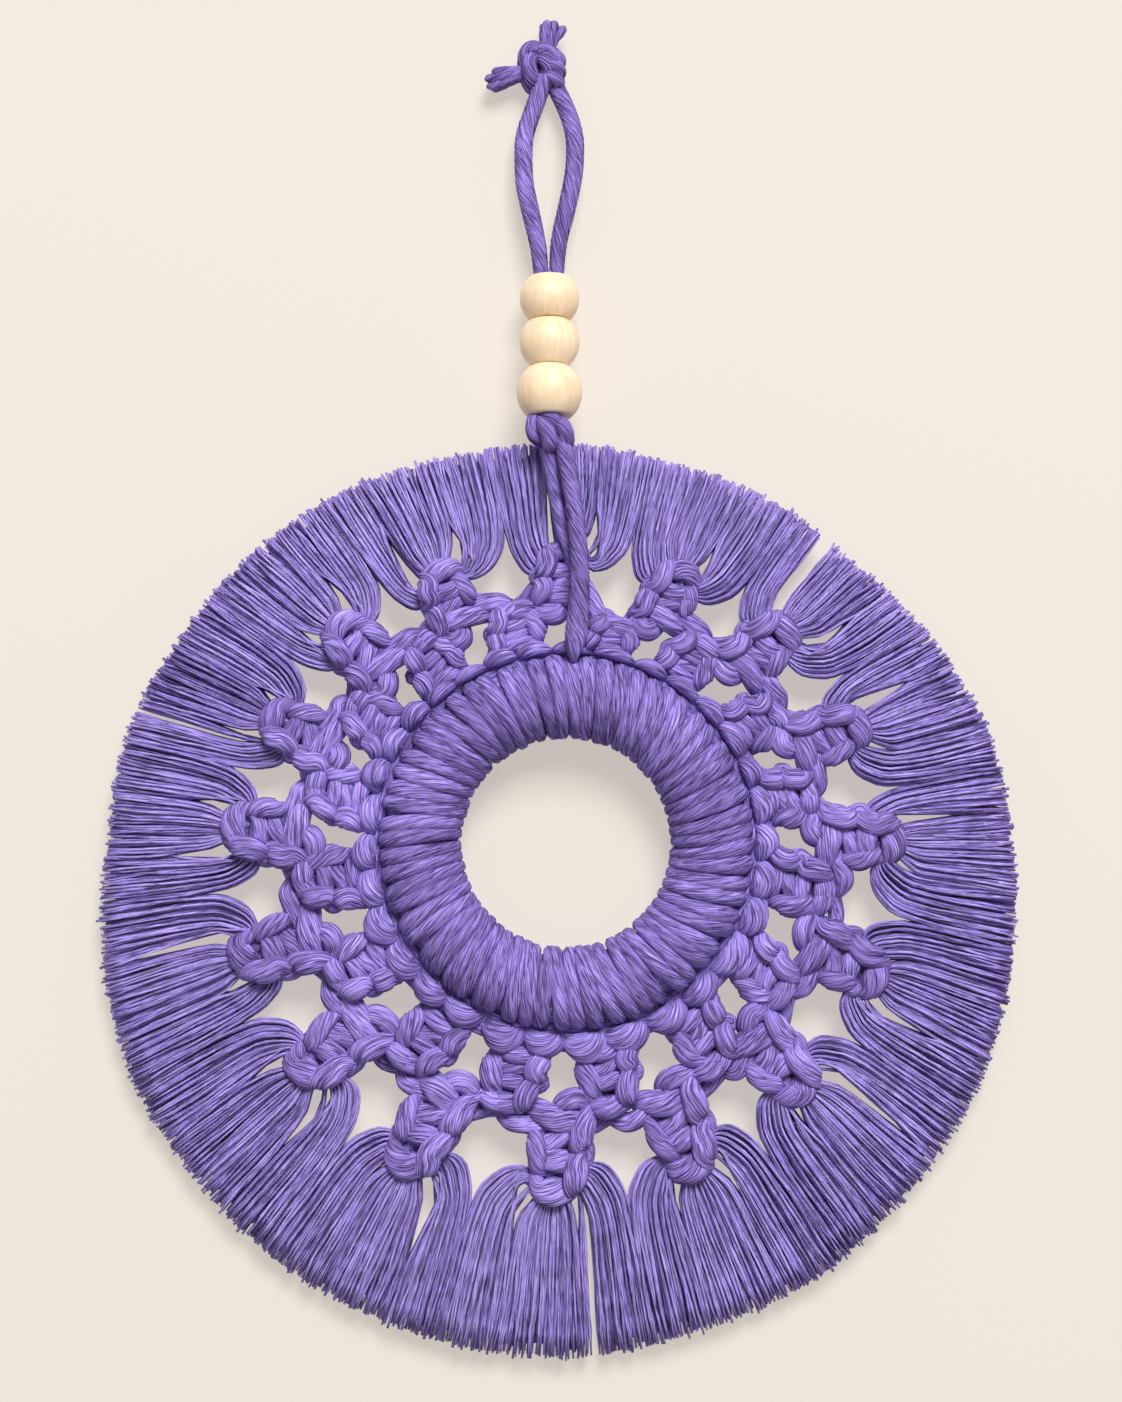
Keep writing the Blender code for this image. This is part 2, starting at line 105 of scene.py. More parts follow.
FIRST_SPREAD, SECOND_SPREAD = 0.245, 0.195  # a knot's width as a share of its radius
# The rim's distance from the ring's centre every 15 degrees: cut by hand, nearly a circle.
RIM = (
    142.2, 139.4, 138.6, 134.8, 131.8, 127.1, 122.9, 120.2, 114.7, 110.0, 109.6, 108.1,
    109.4, 110.0, 113.7, 116.9, 119.5, 124.0, 126.0, 131.6, 136.4, 138.3, 140.8, 141.4,
)
NET_RADII, NET_DEPTHS = (52.0, 140.0), (-5.0, 0.0)  # the net leans back on its way out
print("ring radius", round(RING_RADIUS, 2), "tube", round(TUBE_RADIUS, 2))

# %% [markdown]
# ## Directions round the ring
#
# A knot is drawn once, in its own directions: outward from the ring, sideways towards the next
# knot, and forward to the viewer. Three unit vectors turn that drawing into place.

# %% Directions and places
FRONT = np.array((0.0, -1.0, 0.0))  # towards the viewer


def directions(angle):
    """Outward, sideways and forward at an angle: (sin, 0, -cos), (cos, 0, sin), (0, -1, 0)."""
    turn = np.radians(angle)
    zero = np.zeros_like(turn)
    outward = np.stack((np.sin(turn), zero, -np.cos(turn)), -1)
    sideways = np.stack((np.cos(turn), zero, np.sin(turn)), -1)
    return outward, sideways, FRONT


def facing(angle, turn):
    """Where a cord's flat side faces: turned by degrees from the front towards sideways."""
    _, side, front = directions(angle)
    turn = np.radians(turn)[:, None]
    return np.sin(turn) * side + np.cos(turn) * front


def spot(angle, sideways, radius, forward):
    """A point: radius outward, then sideways and forward of the net's middle at that radius."""
    out, side, front = directions(angle)
    depth = np.interp(radius, NET_RADII, NET_DEPTHS)
    flat = RING_CENTRE * (1, 0, 1) + radius[..., None] * out + sideways[..., None] * side
    return flat + (forward - depth)[..., None] * front


def fringe_radius(angle):
    """The trimmed rim's distance from the ring's centre, between the angles of the table."""
    return np.interp(angle, np.arange(len(RIM)) * 360 / len(RIM), RIM, period=360)


print("rim below and above:", fringe_radius(0.0).round(1), fringe_radius(180.0).round(1))

# %% [markdown]
# ## Smooth lines
#
# Every strand starts as a smooth line through a few given points. Blender has curve
# objects for this, but arrays handle thousands of threads at once.

# %% Smooth lines
CURVE_STEPS = 10


def curve(points, rows, by_point=False):
    """Smooth lines through lines of points, each with the same number of rows.

    The rows are evenly spaced, or by_point there are as many rows between any two points, so
    that tight bends get more.

    Between b and c, with neighbours a and d, a point is
    b + t/2 (c - a + t (2a - 5b + 4c - d + t (3b - 3c + d - a))), for t from 0 to 1.
    Columns past the third, such as widths, are carried along in the same way.
    """
    points = np.asarray(points, float)
    first, last = 2 * points[:, :1] - points[:, 1:2], 2 * points[:, -1:] - points[:, -2:-1]
    padded = np.concatenate((first, points, last), 1)
    spans = points.shape[1] - 1
    a, b, c, d = (padded[:, i : i + spans, None] for i in range(4))
    t = (np.arange(CURVE_STEPS) / CURVE_STEPS)[:, None]
    runs = b + 0.5 * t * (c - a + t * (2 * a - 5 * b + 4 * c - d + t * (3 * b - 3 * c + d - a)))
    dense = np.concatenate((runs.reshape(len(points), -1, points.shape[2]), points[:, -1:]), 1)
    steps = np.linalg.norm(np.diff(dense[..., :3], axis=1), axis=2).mean(0)
    along = np.concatenate(([0.0], np.cumsum(steps)))
    even = np.linspace(0, 1, rows)
    at = even * (len(along) - 1)
    if not by_point:
        at = np.interp(along[-1] * even, along, np.arange(len(along)))
    low = np.minimum(at.astype(int), len(along) - 2)
    share = (at - low)[:, None]
    return dense[:, low] * (1 - share) + dense[:, low + 1] * share


print("round a corner:", curve([((0, 0), (1, 0), (1, 1))], 4).round(2).tolist())

# %% [markdown]
# ## Swept cords
#
# A flattened round profile is carried along each line. Its corners stand out and lie back in
# turn and rotate on their way, so the ridges run round the cord as its threads do. Each point
# also keeps its place in the cord's own, untwisted section. The material reads that as an
# attribute, so that its fibres follow the cord round every bend.

# %% Sweep a cord
CORD_TWIST = 0.12  # radians a millimetre
random = np.random.default_rng(7)


def unit(vectors):
    """Vectors divided by their own length."""
    return vectors / np.linalg.norm(vectors, axis=-1, keepdims=True)


def sweep(paths, front, half_width, half_depth, sides, rib=0.0, twist=0.0, plump=1.0,
          tones=(0.35, 0.65), fineness=1.0):
    """Cords along paths: rings of points, their fibre coordinates and a tone for each cord.

    A corner at turn w stands at half_width cos(w) across and half_depth sin(w) towards front,
    both raised to the power plump, and times 1 + rib or 1 - rib in turn. w grows by twist
    radians a millimetre. Its fibre coordinate is its untwisted place in the section, and the
    length along the cord.
    """
    forward = unit(np.gradient(paths, axis=1))
    front = np.broadcast_to(front, paths.shape)
    out = unit(front - (front * forward).sum(-1, keepdims=True) * forward)
    across = np.cross(forward, out)
    steps = np.linalg.norm(np.diff(paths, axis=1), axis=2)
    along = np.concatenate((np.zeros((len(paths), 1)), np.cumsum(steps, 1)), 1)
    corner = 2 * np.pi * np.arange(sides) / sides
    turn = corner + twist * along[..., None]
    swell = 1 + rib * (-1.0) ** np.arange(sides)
    half_width = np.broadcast_to(half_width, along.shape)[..., None]
    half_depth = np.broadcast_to(half_depth, along.shape)[..., None]
    wide = half_width * swell * np.sign(np.cos(turn)) * np.abs(np.cos(turn)) ** plump
    deep = half_depth * swell * np.sign(np.sin(turn)) * np.abs(np.sin(turn)) ** plump
    rings = paths[:, :, None] + wide[..., None] * across[:, :, None]
    rings = rings + deep[..., None] * out[:, :, None]
    size = fineness * np.sqrt(half_width * half_depth).mean(axis=(1, 2), keepdims=True)
    section = np.stack((np.cos(corner), np.sin(corner)), -1) * size[..., None]
    section = np.broadcast_to(section, rings.shape[:3] + (2,))
    run = np.broadcast_to(along[..., None, None], rings.shape[:3] + (1,))
    lot = random.uniform(-500, 500, (len(paths), 1, 1, 3))
    fibre = np.concatenate((section, run), -1) + lot
    return rings, fibre, random.uniform(*tones, len(paths))


print("a ridge goes once round its cord in", round(2 * math.pi / CORD_TWIST, 1), "mm")

# %% [markdown]
# ## From rings of points to a mesh
#
# Neighbouring rings are joined by four-sided faces, worked out for all cords at once, and each
# open end is closed by one flat face. `foreach_set` puts whole arrays into the mesh, which is
# far quicker than adding faces one by one.

# %% Meshes from swept cords
def side_faces(count, rows, sides, closed):
    """Corner numbers of the faces between neighbouring rings, turned to face outwards."""
    ring_rows = np.arange(rows if closed else rows - 1)
    strand, row, side = np.meshgrid(np.arange(count), ring_rows, np.arange(sides), indexing="ij")
    first, after, beside = strand * rows * sides, (row + 1) % rows, (side + 1) % sides
    corners = (
        first + row * sides + side, first + after * sides + side,
        first + after * sides + beside, first + row * sides + beside,
    )
    return np.stack(corners, -1).reshape(-1, 4)


def end_faces(count, rows, sides):
    """Corner numbers of the flat faces that close both ends of every cord."""
    first = np.arange(count)[:, None] * rows * sides
    start = first + np.arange(sides)
    end = first + (rows - 1) * sides + np.arange(sides)[::-1]
    return np.concatenate((start, end))


def piece(name, cords, material, nodes, closed=False):
    """One object from swept cords. It stands for its nodes and rides on the only body."""
    points, fibres, tones, faces, start = [], [], [], [], 0
    for rings, fibre, tone in cords:
        count, rows, sides, _ = rings.shape
        points.append(rings.reshape(-1, 3))
        fibres.append(fibre.reshape(-1, 3))
        tones.append(np.repeat(tone, rows * sides))
        faces.append(start + side_faces(count, rows, sides, closed))
        if not closed:
            faces.append(start + end_faces(count, rows, sides))
        start += count * rows * sides
    sizes = np.concatenate([np.full(len(group), group.shape[1]) for group in faces])
    corners = np.concatenate([group.ravel() for group in faces])
    mesh = bpy.data.meshes.new(name)
    mesh.vertices.add(start)
    mesh.vertices.foreach_set("co", (np.concatenate(points) * MM).astype(np.float32).ravel())
    mesh.loops.add(len(corners))
    mesh.loops.foreach_set("vertex_index", corners.astype(np.int32))
    mesh.polygons.add(len(sizes))
    starts = np.concatenate(([0], np.cumsum(sizes)[:-1]))
    mesh.polygons.foreach_set("loop_start", starts.astype(np.int32))
    mesh.update(calc_edges=True)
    mesh.validate()
    for label, kind, field, values in (
        ("fibre", "FLOAT_VECTOR", "vector", fibres), ("tone", "FLOAT", "value", tones),
    ):
        attribute = mesh.attributes.new(label, kind, "POINT")
        attribute.data.foreach_set(field, np.concatenate(values).astype(np.float32).ravel())
    mesh.shade_smooth()
    mesh.materials.append(material)
    thing = bpy.data.objects.new(name, mesh)
    bpy.context.scene.collection.objects.link(thing)
    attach(thing, "root")
    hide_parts(*nodes)
    return int((sizes - 2).sum())


print("side faces of a cord with 3 rows of 4:", len(side_faces(1, 3, 4, False)))

# %% [markdown]
# ## Small helpers for materials
#
# A material is a tree of nodes. Those here are built from the same few steps: a noise, a
# stretched vector, a weighted sum and a ramp of colours. A function for each keeps the
# materials themselves short enough to read.

# %% Helpers for materials
def linear(*srgb):
    """A colour from the usual 0 to 255 scale to the linear one that shaders take."""
    share = np.array(srgb) / 255
    light = np.where(share <= 0.04045, share / 12.92, ((share + 0.055) / 1.055) ** 2.4)
    return (*light.tolist(), 1.0)


def blank(name):
    """A new material, its tree and its shader."""
    material = bpy.data.materials.new(name)
    material.use_nodes = True
    return material, material.node_tree, material.node_tree.nodes["Principled BSDF"]


def feed(tree, node, inputs):
    """Gives a node's inputs their values, or links from the outputs of other nodes."""
    for place, value in inputs.items():
        if isinstance(value, bpy.types.NodeSocket):
            tree.links.new(value, node.inputs[place])
        else:
            node.inputs[place].default_value = value


def result(tree, kind, inputs, output, operation=None):
    """An output of a new node of a kind, with its inputs fed."""
    node = tree.nodes.new("ShaderNode" + kind)
    if operation:
        node.operation = operation
    feed(tree, node, inputs)
    return node.outputs[output]


def noise(tree, vector, scale, detail):
    """The value of a noise texture on a vector."""
    return result(tree, "TexNoise", {"Vector": vector, "Scale": scale, "Detail": detail}, "Fac")


def stretched(tree, vector, factors):
    """A vector with each part multiplied, to stretch a texture along a cord."""
    return result(tree, "VectorMath", {0: vector, 1: factors}, "Vector", "MULTIPLY")


def sum_of(tree, terms, total):
    """A number plus the sum of values, each times its own factor."""
    for value, factor in terms:
        total = result(tree, "Math", {0: value, 1: factor, 2: total}, "Value", "MULTIPLY_ADD")
    return total


def ramp(tree, value, stops):
    """A colour that runs through stops of (place, colour)."""
    node = tree.nodes.new("ShaderNodeValToRGB")
    while len(node.color_ramp.elements) < len(stops):
        node.color_ramp.elements.new(0.5)
    for element, (place, colour) in zip(node.color_ramp.elements, stops):
        element.position = place
        element.color = colour
    feed(tree, node, {"Fac": value})
    return node.outputs["Color"]


def creases(tree, value, width):
    """0 on the lines where a noise crosses its middle value, rising to 1 within a width."""
    from_middle = result(tree, "Math", {0: value, 1: 0.5}, "Value", "SUBTRACT")
    size = result(tree, "Math", {0: from_middle}, "Value", "ABSOLUTE")
    return result(tree, "MapRange", {"Value": size, "From Max": width}, "Result")


print("a violet in linear light:", np.round(linear(133, 113, 184)[:3], 2))

# %% [markdown]
# ## Cotton
#
# Combed cotton is matt, with a soft sheen where loose fibres catch the light, and no two
# threads take the dye alike. Noise that is stretched along the cord gives the threads and their
# fine fibres, both as colour and as bump. In the colour, the lines between the threads are
# darkened as painted shade, and the brightest fibres are partly painted highlight. A second,
# larger noise on object coordinates lets the dye drift a little over the whole hanging.

# %% The cotton material
VIOLETS = (  # from the shade between two threads to a loose fibre in full light
    (0.02, linear(36, 22, 84)), (0.38, linear(104, 84, 156)), (0.62, linear(133, 113, 184)),
    (0.80, linear(163, 141, 238)), (0.98, linear(194, 175, 255)),
)
THREAD_STRETCH, FIBRE_STRETCH = (1, 1, 0.04), (1, 1, 0.05)  # across, across and along the cord
THREAD_SCALE, FIBRE_SCALE = 1.6, 6.0  # how many to a millimetre, about
DYE_SCALE = 28.0  # how many to a metre
# The width of the painted shade line between two threads, which is also a groove in the bump.
CREASE = 0.046  # width of the line between two threads, as a share of the noise's height
RELIEF = 0.4  # millimetres


def cotton(name):
    """Violet cotton: threads with painted shade in the creases between them, finer fibres and a
    soft sheen.

    The colour is a sum of that painted shade, the fibres, which are partly painted highlight,
    the cord's own tone and the dye's drift.
    """
    material, tree, shader = blank(name)
    fibre, tone = (tree.nodes.new("ShaderNodeAttribute") for _ in range(2))
    fibre.attribute_name, tone.attribute_name = "fibre", "tone"
    threads = stretched(tree, fibre.outputs["Vector"], THREAD_STRETCH)
    fibres = stretched(tree, fibre.outputs["Vector"], FIBRE_STRETCH)
    # Painted shade: the colour darkens along the lines between two threads, where shade falls. The same
    # lines are grooves in the bump.
    crease_shade_and_relief = creases(tree, noise(tree, threads, THREAD_SCALE, 1.0), CREASE)
    # The fine fibres are partly their own tone and partly painted highlight, which the top stops of
    # VIOLETS turn pale.
    fine = noise(tree, fibres, FIBRE_SCALE, 1.5)
    drift = noise(tree, result(tree, "TexCoord", {}, "Object"), DYE_SCALE, 2.0)
    parts = (crease_shade_and_relief, 0.36), (fine, 1.38), (tone.outputs["Fac"], 0.36), (drift, 0.35)
    height = sum_of(tree, ((crease_shade_and_relief, 1.0), (fine, 0.6)), 0.0)
    relief = {"Strength": 1.0, "Distance": RELIEF * MM, "Height": height}
    feed(tree, shader, {
        "Base Color": ramp(tree, sum_of(tree, parts, -0.685), VIOLETS),
        "Normal": result(tree, "Bump", relief, "Normal"),
        "Roughness": 0.8, "Specular IOR Level": 0.2,
        "Sheen Weight": 0.08, "Sheen Roughness": 0.45, "Sheen Tint": linear(200, 184, 245),
    })
    return material


COTTON = cotton("violet_cotton")
print("material:", COTTON.name)

# %% [markdown]
# ## The wound ring
#
# 64 turns of cord go round the ring's tube, two for each doubled cord. Each is a closed loop of
# its own, narrow at the ring's inside and wide at its outside. Neighbours press on each other,
# so each has its own width, lean and height, and the two turns of a cord draw together.

# %% The ring's turns
WRAPS = 64
WRAP_ROWS, WRAP_SIDES = 48, 14
WRAP_HALF_DEPTH = 1.65
INNER_BULGE = 0.55  # more cord lies on the ring's inside
PAIR_SHIFT, PAIR_LEAN = 0.10, 0.45  # degrees towards its partner, all round and at the outside
SLANT = 1.8  # degrees by which a turn runs from the ring's inside to its outside
SHIFT_ERROR, LEAN_ERROR, BOW_ERROR = 0.16, 0.75, 0.4  # degrees
LIFT_ERROR, LIFT_WAVE = 0.12, 0.16  # millimetres


def wraps():
    """Loops round the tube: at turn w, the radius is R + t cos(w) and the depth is t sin(w).

    Each has a row more at both ends, which repeats the row on the far side of its seam.
    """
    turn = 2 * np.pi * np.arange(-1, WRAP_ROWS + 1) / WRAP_ROWS
    number = np.arange(WRAPS)[:, None]
    partner = (-1.0) ** number
    middle = (number + 0.5) * 360 / WRAPS + PAIR_SHIFT * partner
    middle = middle + random.normal(0, SHIFT_ERROR, (WRAPS, 1))
    lean = random.normal(SLANT, LEAN_ERROR, (WRAPS, 1)) * np.cos(turn)
    bow = random.normal(0, BOW_ERROR, (WRAPS, 1))
    bow = bow * np.sin(turn + random.uniform(-0.8, 0.8, (WRAPS, 1)))
    height = TUBE_RADIUS - WRAP_HALF_DEPTH + random.normal(0, LIFT_ERROR, (WRAPS, 1))
    height = height + LIFT_WAVE * np.sin(3 * turn + random.uniform(0, 6.3, (WRAPS, 1)))
    outer, inner = np.maximum(0, np.cos(turn)) ** 2, np.maximum(0, -np.cos(turn)) ** 2
    angle = np.radians(middle + lean + bow + PAIR_LEAN * partner * outer)
    height = height + INNER_BULGE * inner
    radius = RING_RADIUS + height * np.cos(turn)
    flat = np.stack((np.sin(angle), np.zeros_like(angle), -np.cos(angle)), -1)
    forward = height[..., None] * np.sin(turn)[:, None] * FRONT
    paths = RING_CENTRE + radius[..., None] * flat + forward
    # Wider than its share of the way round, so that neighbours close up, but less so outside.
    swell = 1.13 + 0.07 * np.sin(2 * turn + random.uniform(0, 6.3, (WRAPS, 1)))
    swell = swell + 0.15 * inner - 0.14 * outer**2
    return paths, paths - RING_CENTRE - RING_RADIUS * flat, np.pi * radius / WRAPS * swell


print("inner share of a turn:", round(2 * math.pi * (RING_RADIUS - TUBE_RADIUS) / WRAPS, 1), "mm")

# %% [markdown]
# ## Winding the ring
#
# Two plain hoops lie under the turns: a lining that closes the creases between them, and a flat
# one at the ring's edge, which stands for the cords that pass behind the bights.

# %% Wind the ring
HOOP_ROWS, HOOP_SIDES = 96, 24
LINING_DEPTH = 2.2  # under the turns' outer surface
SEAM_INNER, SEAM_HALF_DEPTH = 48.4, 1.6  # of the flat hoop
# The angles where one bight ends and the next begins.
BIGHTS = np.array((
    -25.2, -12.4, -0.8, 11.8, 23.8, 36.4, 48.8, 62.8, 74.0, 84.7, 95.5, 106.0, 116.4, 127.4,
    137.0, 148.5, 159.4, 172.0, 184.5, 195.0, 205.0, 214.5, 224.6, 234.5, 245.0, 255.4, 267.6,
    277.6, 288.6, 300.0, 311.6, 322.0, 334.8,
))
# The outer radius at each second of them, and of each bight.
SEAM_OUTER = (
    57.7, 57.2, 56.9, 57.7, 58.2, 57.3, 56.3, 54.6, 51.6, 52.4, 52.5, 54.2, 56.5, 54.6, 56.9, 58.1,
)
BIGHT_OUTER = (
    59.5, 58.4, 59.9, 59.4, 59.1, 57.8, 58.5, 58.5, 58.2, 57.6, 57.2, 56.3, 56.8, 55.7, 54.6, 54.6,
    54.6, 54.8, 55.5, 55.7, 54.6, 55.4, 56.8, 57.2, 58.5, 56.8, 58.0, 58.2, 59.5, 59.1, 58.0, 57.6,
)


def trimmed(swept):
    """A closed cord without its first and last rows, which repeat others across its seam."""
    rings, fibre, tone = swept
    return rings[:, 1:-1], fibre[:, 1:-1], tone


def hoop(radius, half_width, half_depth):
    """A plain hoop round the ring's centre: a point at an angle stands at its radius there."""
    path = RING_CENTRE + radius[:, None] * directions(around)[0]
    return trimmed(sweep(path[None], FRONT, half_width, half_depth, HOOP_SIDES))


around = np.arange(-1, HOOP_ROWS + 1) * 360 / HOOP_ROWS
seam_edge = np.interp(around, BIGHTS[:-1:2], SEAM_OUTER, period=360)
lining_half = TUBE_RADIUS - LINING_DEPTH
layers = [
    trimmed(
        sweep(*wraps(), WRAP_HALF_DEPTH, WRAP_SIDES, 0.04, CORD_TWIST, 1.0, tones=(0.1, 0.45))
    ),
    hoop(np.full(len(around), RING_RADIUS), lining_half, lining_half),
    hoop((seam_edge + SEAM_INNER) / 2, (seam_edge - SEAM_INNER) / 2, SEAM_HALF_DEPTH),
]
triangles = piece("wound_ring", layers, COTTON, ["wrapped_ring"], closed=True)
print("wound ring:", WRAPS, "turns,", triangles, "triangles")

# %% [markdown]
# ## A double square knot, drawn once
#
# Two working cords cross over, behind and over again two filler cords. Both are written down
# as points in the knot's own directions: across as a share of its width, down as a share of
# its length, forward in millimetres, then the way the cord's flat side faces, in degrees
# from the front towards the right, and its half width and half thickness.

# %% The paths of a knot's cords
LEFT_CORD = np.array((
    (-0.78, -0.08, -0.3, 180, 1.9, 1.6), (-0.54, 0.1, 0.6, 180, 2.7, 2.1),
    (-0.3, 0.21, -1.8, 180, 2.6, 1.8), (0.0, 0.18, -3.4, 180, 2.6, 1.6),
    (0.35, 0.06, -2.0, 135, 2.7, 1.8), (0.47, 0.0, 0.8, 80, 3.0, 1.8),
    (0.42, 0.09, 3.8, 20, 3.5, 1.9), (0.38, 0.23, 4.6, 0, 3.75, 1.9),
    (0.35, 0.36, 3.4, 20, 3.5, 1.8), (0.3, 0.45, 0.5, 90, 2.4, 1.7),
    (0.1, 0.4, -3.0, 180, 2.6, 1.6), (-0.24, 0.25, -2.6, 200, 2.6, 1.7),
    (-0.38, 0.24, 0.0, 270, 2.6, 1.8), (-0.4, 0.34, 2.7, 330, 3.0, 1.8),
    (-0.38, 0.48, 3.3, 340, 3.2, 1.8), (-0.32, 0.6, 2.7, 355, 2.9, 1.8),
    (-0.22, 0.68, 0.2, 360, 2.3, 1.6), (0.0, 0.62, -3.0, 360, 2.4, 1.5),
    (0.22, 0.52, -3.0, 330, 2.6, 1.6), (0.38, 0.46, 0.2, 270, 2.8, 1.8),
    (0.32, 0.53, 3.8, 200, 3.5, 1.9), (0.27, 0.66, 4.8, 180, 3.75, 1.9),
    (0.24, 0.8, 4.2, 180, 3.5, 1.9), (0.2, 0.93, 1.3, 230, 2.6, 1.8),
    (0.0, 0.95, -2.0, 300, 2.4, 1.6), (-0.3, 0.84, -2.0, 360, 2.4, 1.6),
    (-0.44, 0.76, -0.8, 360, 2.4, 1.7), (-0.54, 0.7, -1.2, 360, 1.8, 1.3),
))
RIGHT_CORD = np.array((
    (0.75, -0.09, -0.3, 0, 1.9, 1.6), (0.55, 0.0, 1.0, 0, 2.7, 2.0),
    (0.3, 0.09, 1.8, 0, 3.0, 1.9), (0.05, 0.11, 2.9, 0, 3.3, 1.8),
    (-0.15, 0.08, 3.1, -10, 3.3, 1.8), (-0.29, 0.08, 0.6, -45, 3.0, 1.8),
    (-0.34, 0.16, -0.6, -80, 2.6, 1.7), (-0.33, 0.3, 0.0, -60, 2.6, 1.7),
    (-0.25, 0.36, 1.7, -20, 2.8, 1.8), (-0.05, 0.33, 2.6, 0, 2.8, 1.8),
    (0.15, 0.27, 2.3, 0, 2.7, 1.8), (0.36, 0.31, 1.2, 40, 2.4, 1.8),
    (0.46, 0.4, 0.6, 60, 2.5, 1.8), (0.46, 0.5, 0.6, 60, 2.6, 1.8),
    (0.34, 0.54, 1.2, 30, 2.8, 1.8), (0.08, 0.53, 2.9, 0, 3.3, 1.8),
    (-0.18, 0.53, 2.7, 0, 3.2, 1.8), (-0.32, 0.6, 0.6, -45, 2.9, 1.8),
    (-0.4, 0.68, -0.2, -80, 2.7, 1.8), (-0.38, 0.78, 0.9, -60, 2.9, 1.8),
    (-0.26, 0.87, 2.5, -30, 3.5, 1.8), (-0.06, 0.89, 3.3, 0, 3.9, 1.8),
    (0.12, 0.85, 2.4, 0, 3.5, 1.8), (0.26, 0.8, 0.8, 0, 2.5, 1.7),
    (0.38, 0.8, -0.4, 0, 2.3, 1.7),
))
# The band across a second-row knot's top, from the left.
BAND = np.array((
    (-0.56, -0.04, -1.2, 0, 2.4, 1.6), (-0.38, 0.01, 1.4, 0, 3.3, 1.9),
    (-0.1, 0.07, 3.0, 0, 3.8, 2.0), (0.2, 0.13, 2.6, 0, 3.7, 1.9),
    (0.4, 0.18, 0.4, 20, 3.0, 1.7), (0.5, 0.22, -2.0, 40, 2.4, 1.5),
))
# A first-row knot's cords come down from the ring, and its lower left loop is taller.
FIRST_LEFT_TOP = (-0.22, -0.25, -0.8), (-0.30, 0.02, 0.0)
FIRST_RIGHT_TOP = (0.34, -0.25, -0.8), (0.42, -0.02, 0.8)
FIRST_LOOP, FIRST_LOOP_WIDER = (0.04, 0.12, 0.26, 0.48, 0.68, 0.80), 1.2
FILLERS_ACROSS, FILLER_SIZE = (-0.11, 0.11), (2.4, 2.0)
TABLE_WIDTH, TABLE_LENGTH = 19.0, 24.0  # of the knot drawn here
END_ROOM = 4.0  # that a cord has past its knot's ends
print("cords of a knot:", len(LEFT_CORD), "and", len(RIGHT_CORD), "points")

# %% [markdown]
# ## Tying a knot
#
# Every knot is drawn from these tables, turned to its place and stretched to its size, with
# small errors of its own, as hands would tie it. A cord is wide where it lies free and narrow
# where its neighbours press on it, so its widths follow the knot's own width and length.

# %% Tie a knot
KNOT_ERROR = 0.3  # millimetres
ERROR_DOWN = 0.04  # of a knot's length for each of them


def knot_points(row, table, width):
    """A cord's points for the knot in a row of a table, with its flat side's directions."""
    angle, start, end = row
    places = table.copy()
    errors = random.normal(0, KNOT_ERROR, (len(table), 3))
    places[:, :3] += errors * (1 / width, ERROR_DOWN, 1)
    points = spot(
        np.full(len(places), angle), width * places[:, 0],
        start + (end - start) * places[:, 1], places[:, 2],
    )
    # A cord that runs across has less room in a short knot than in a long one.
    steps = np.abs(np.gradient(places[:, :2], axis=0)) * (width, end - start)
    upright = steps[:, 1] / steps.sum(1)
    room = (end - start + END_ROOM) / (TABLE_LENGTH + END_ROOM)
    places[:, 4] *= width / TABLE_WIDTH * upright + (1 - upright) * room
    return np.concatenate((points, facing(angle, places[:, 3]), places[:, 4:]), 1)


def cord(points, rows, sides=18, rib=0.05, twist=CORD_TWIST, plump=0.9, tones=(0.3, 0.6)):
    """One cord through points that carry its directions, half widths and half depths."""
    line = curve(points[None], rows, by_point=True)
    return sweep(
        line[..., :3], line[..., 3:6], line[..., 6], line[..., 7], sides, rib, twist, plump, tones
    )


def square_knot(row, first_row):
    """Both working cords and both fillers of a knot, and the band over a second-row knot."""
    left, right = LEFT_CORD.copy(), RIGHT_CORD.copy()
    width = (FIRST_SPREAD if first_row else SECOND_SPREAD) * (row[1] + row[2]) / 2
    if first_row:
        left[:2, :3], right[:2, :3] = FIRST_LEFT_TOP, FIRST_RIGHT_TOP
        left[11:17, 1] = FIRST_LOOP
        left[12:17, 4] *= FIRST_LOOP_WIDER
    else:  # the band takes the place of both cords' first points
        left, right = left[2:], right[5:]
    cords = [cord(knot_points(row, table, width), 4 * len(table)) for table in (left, right)]
    top = -0.2 if first_row else 0.15
    for across in FILLERS_ACROSS:
        filler = np.array([(across, down, -0.3, 0, *FILLER_SIZE) for down in (top, 0.4, 0.7, 1.0)])
        cords.append(cord(knot_points(row, filler, width), 10, 12))
    if not first_row:
        cords.append(cord(knot_points(row, BAND, width), 6 * len(BAND)))
    return cords


print("knots:", len(FIRST_ROW), "in the first row and", len(SECOND_ROW), "in the second")

# %% [markdown]
# ## The first row: bights, knots and the cords between the rows
#
# Each doubled cord is hung on the ring by a loop whose bight lies along the ring's outer
# edge as a short, fat crescent. Two such cords make each knot. From its foot a cord arches
# back to the knot below on one side, and thinner ones run to the knots below on both sides.

# %% Knot the first row
BIGHT_INNER, BIGHT_TUCK = 51.6, 0.6  # inner radius, and how far its edge goes under the knots
# Along a bight: the share of its length, and its width, lift and half thickness there.
BIGHT_ALONG, BIGHT_WIDTHS = (-0.02, 0.2, 0.5, 0.8, 1.02), (0.25, 0.72, 1.0, 0.78, 0.25)
BIGHT_LIFTS, BIGHT_DEPTHS = (0.8, 3.2, 4.4, 3.4, 0.8), (0.9, 1.9, 2.5, 2.1, 0.9)


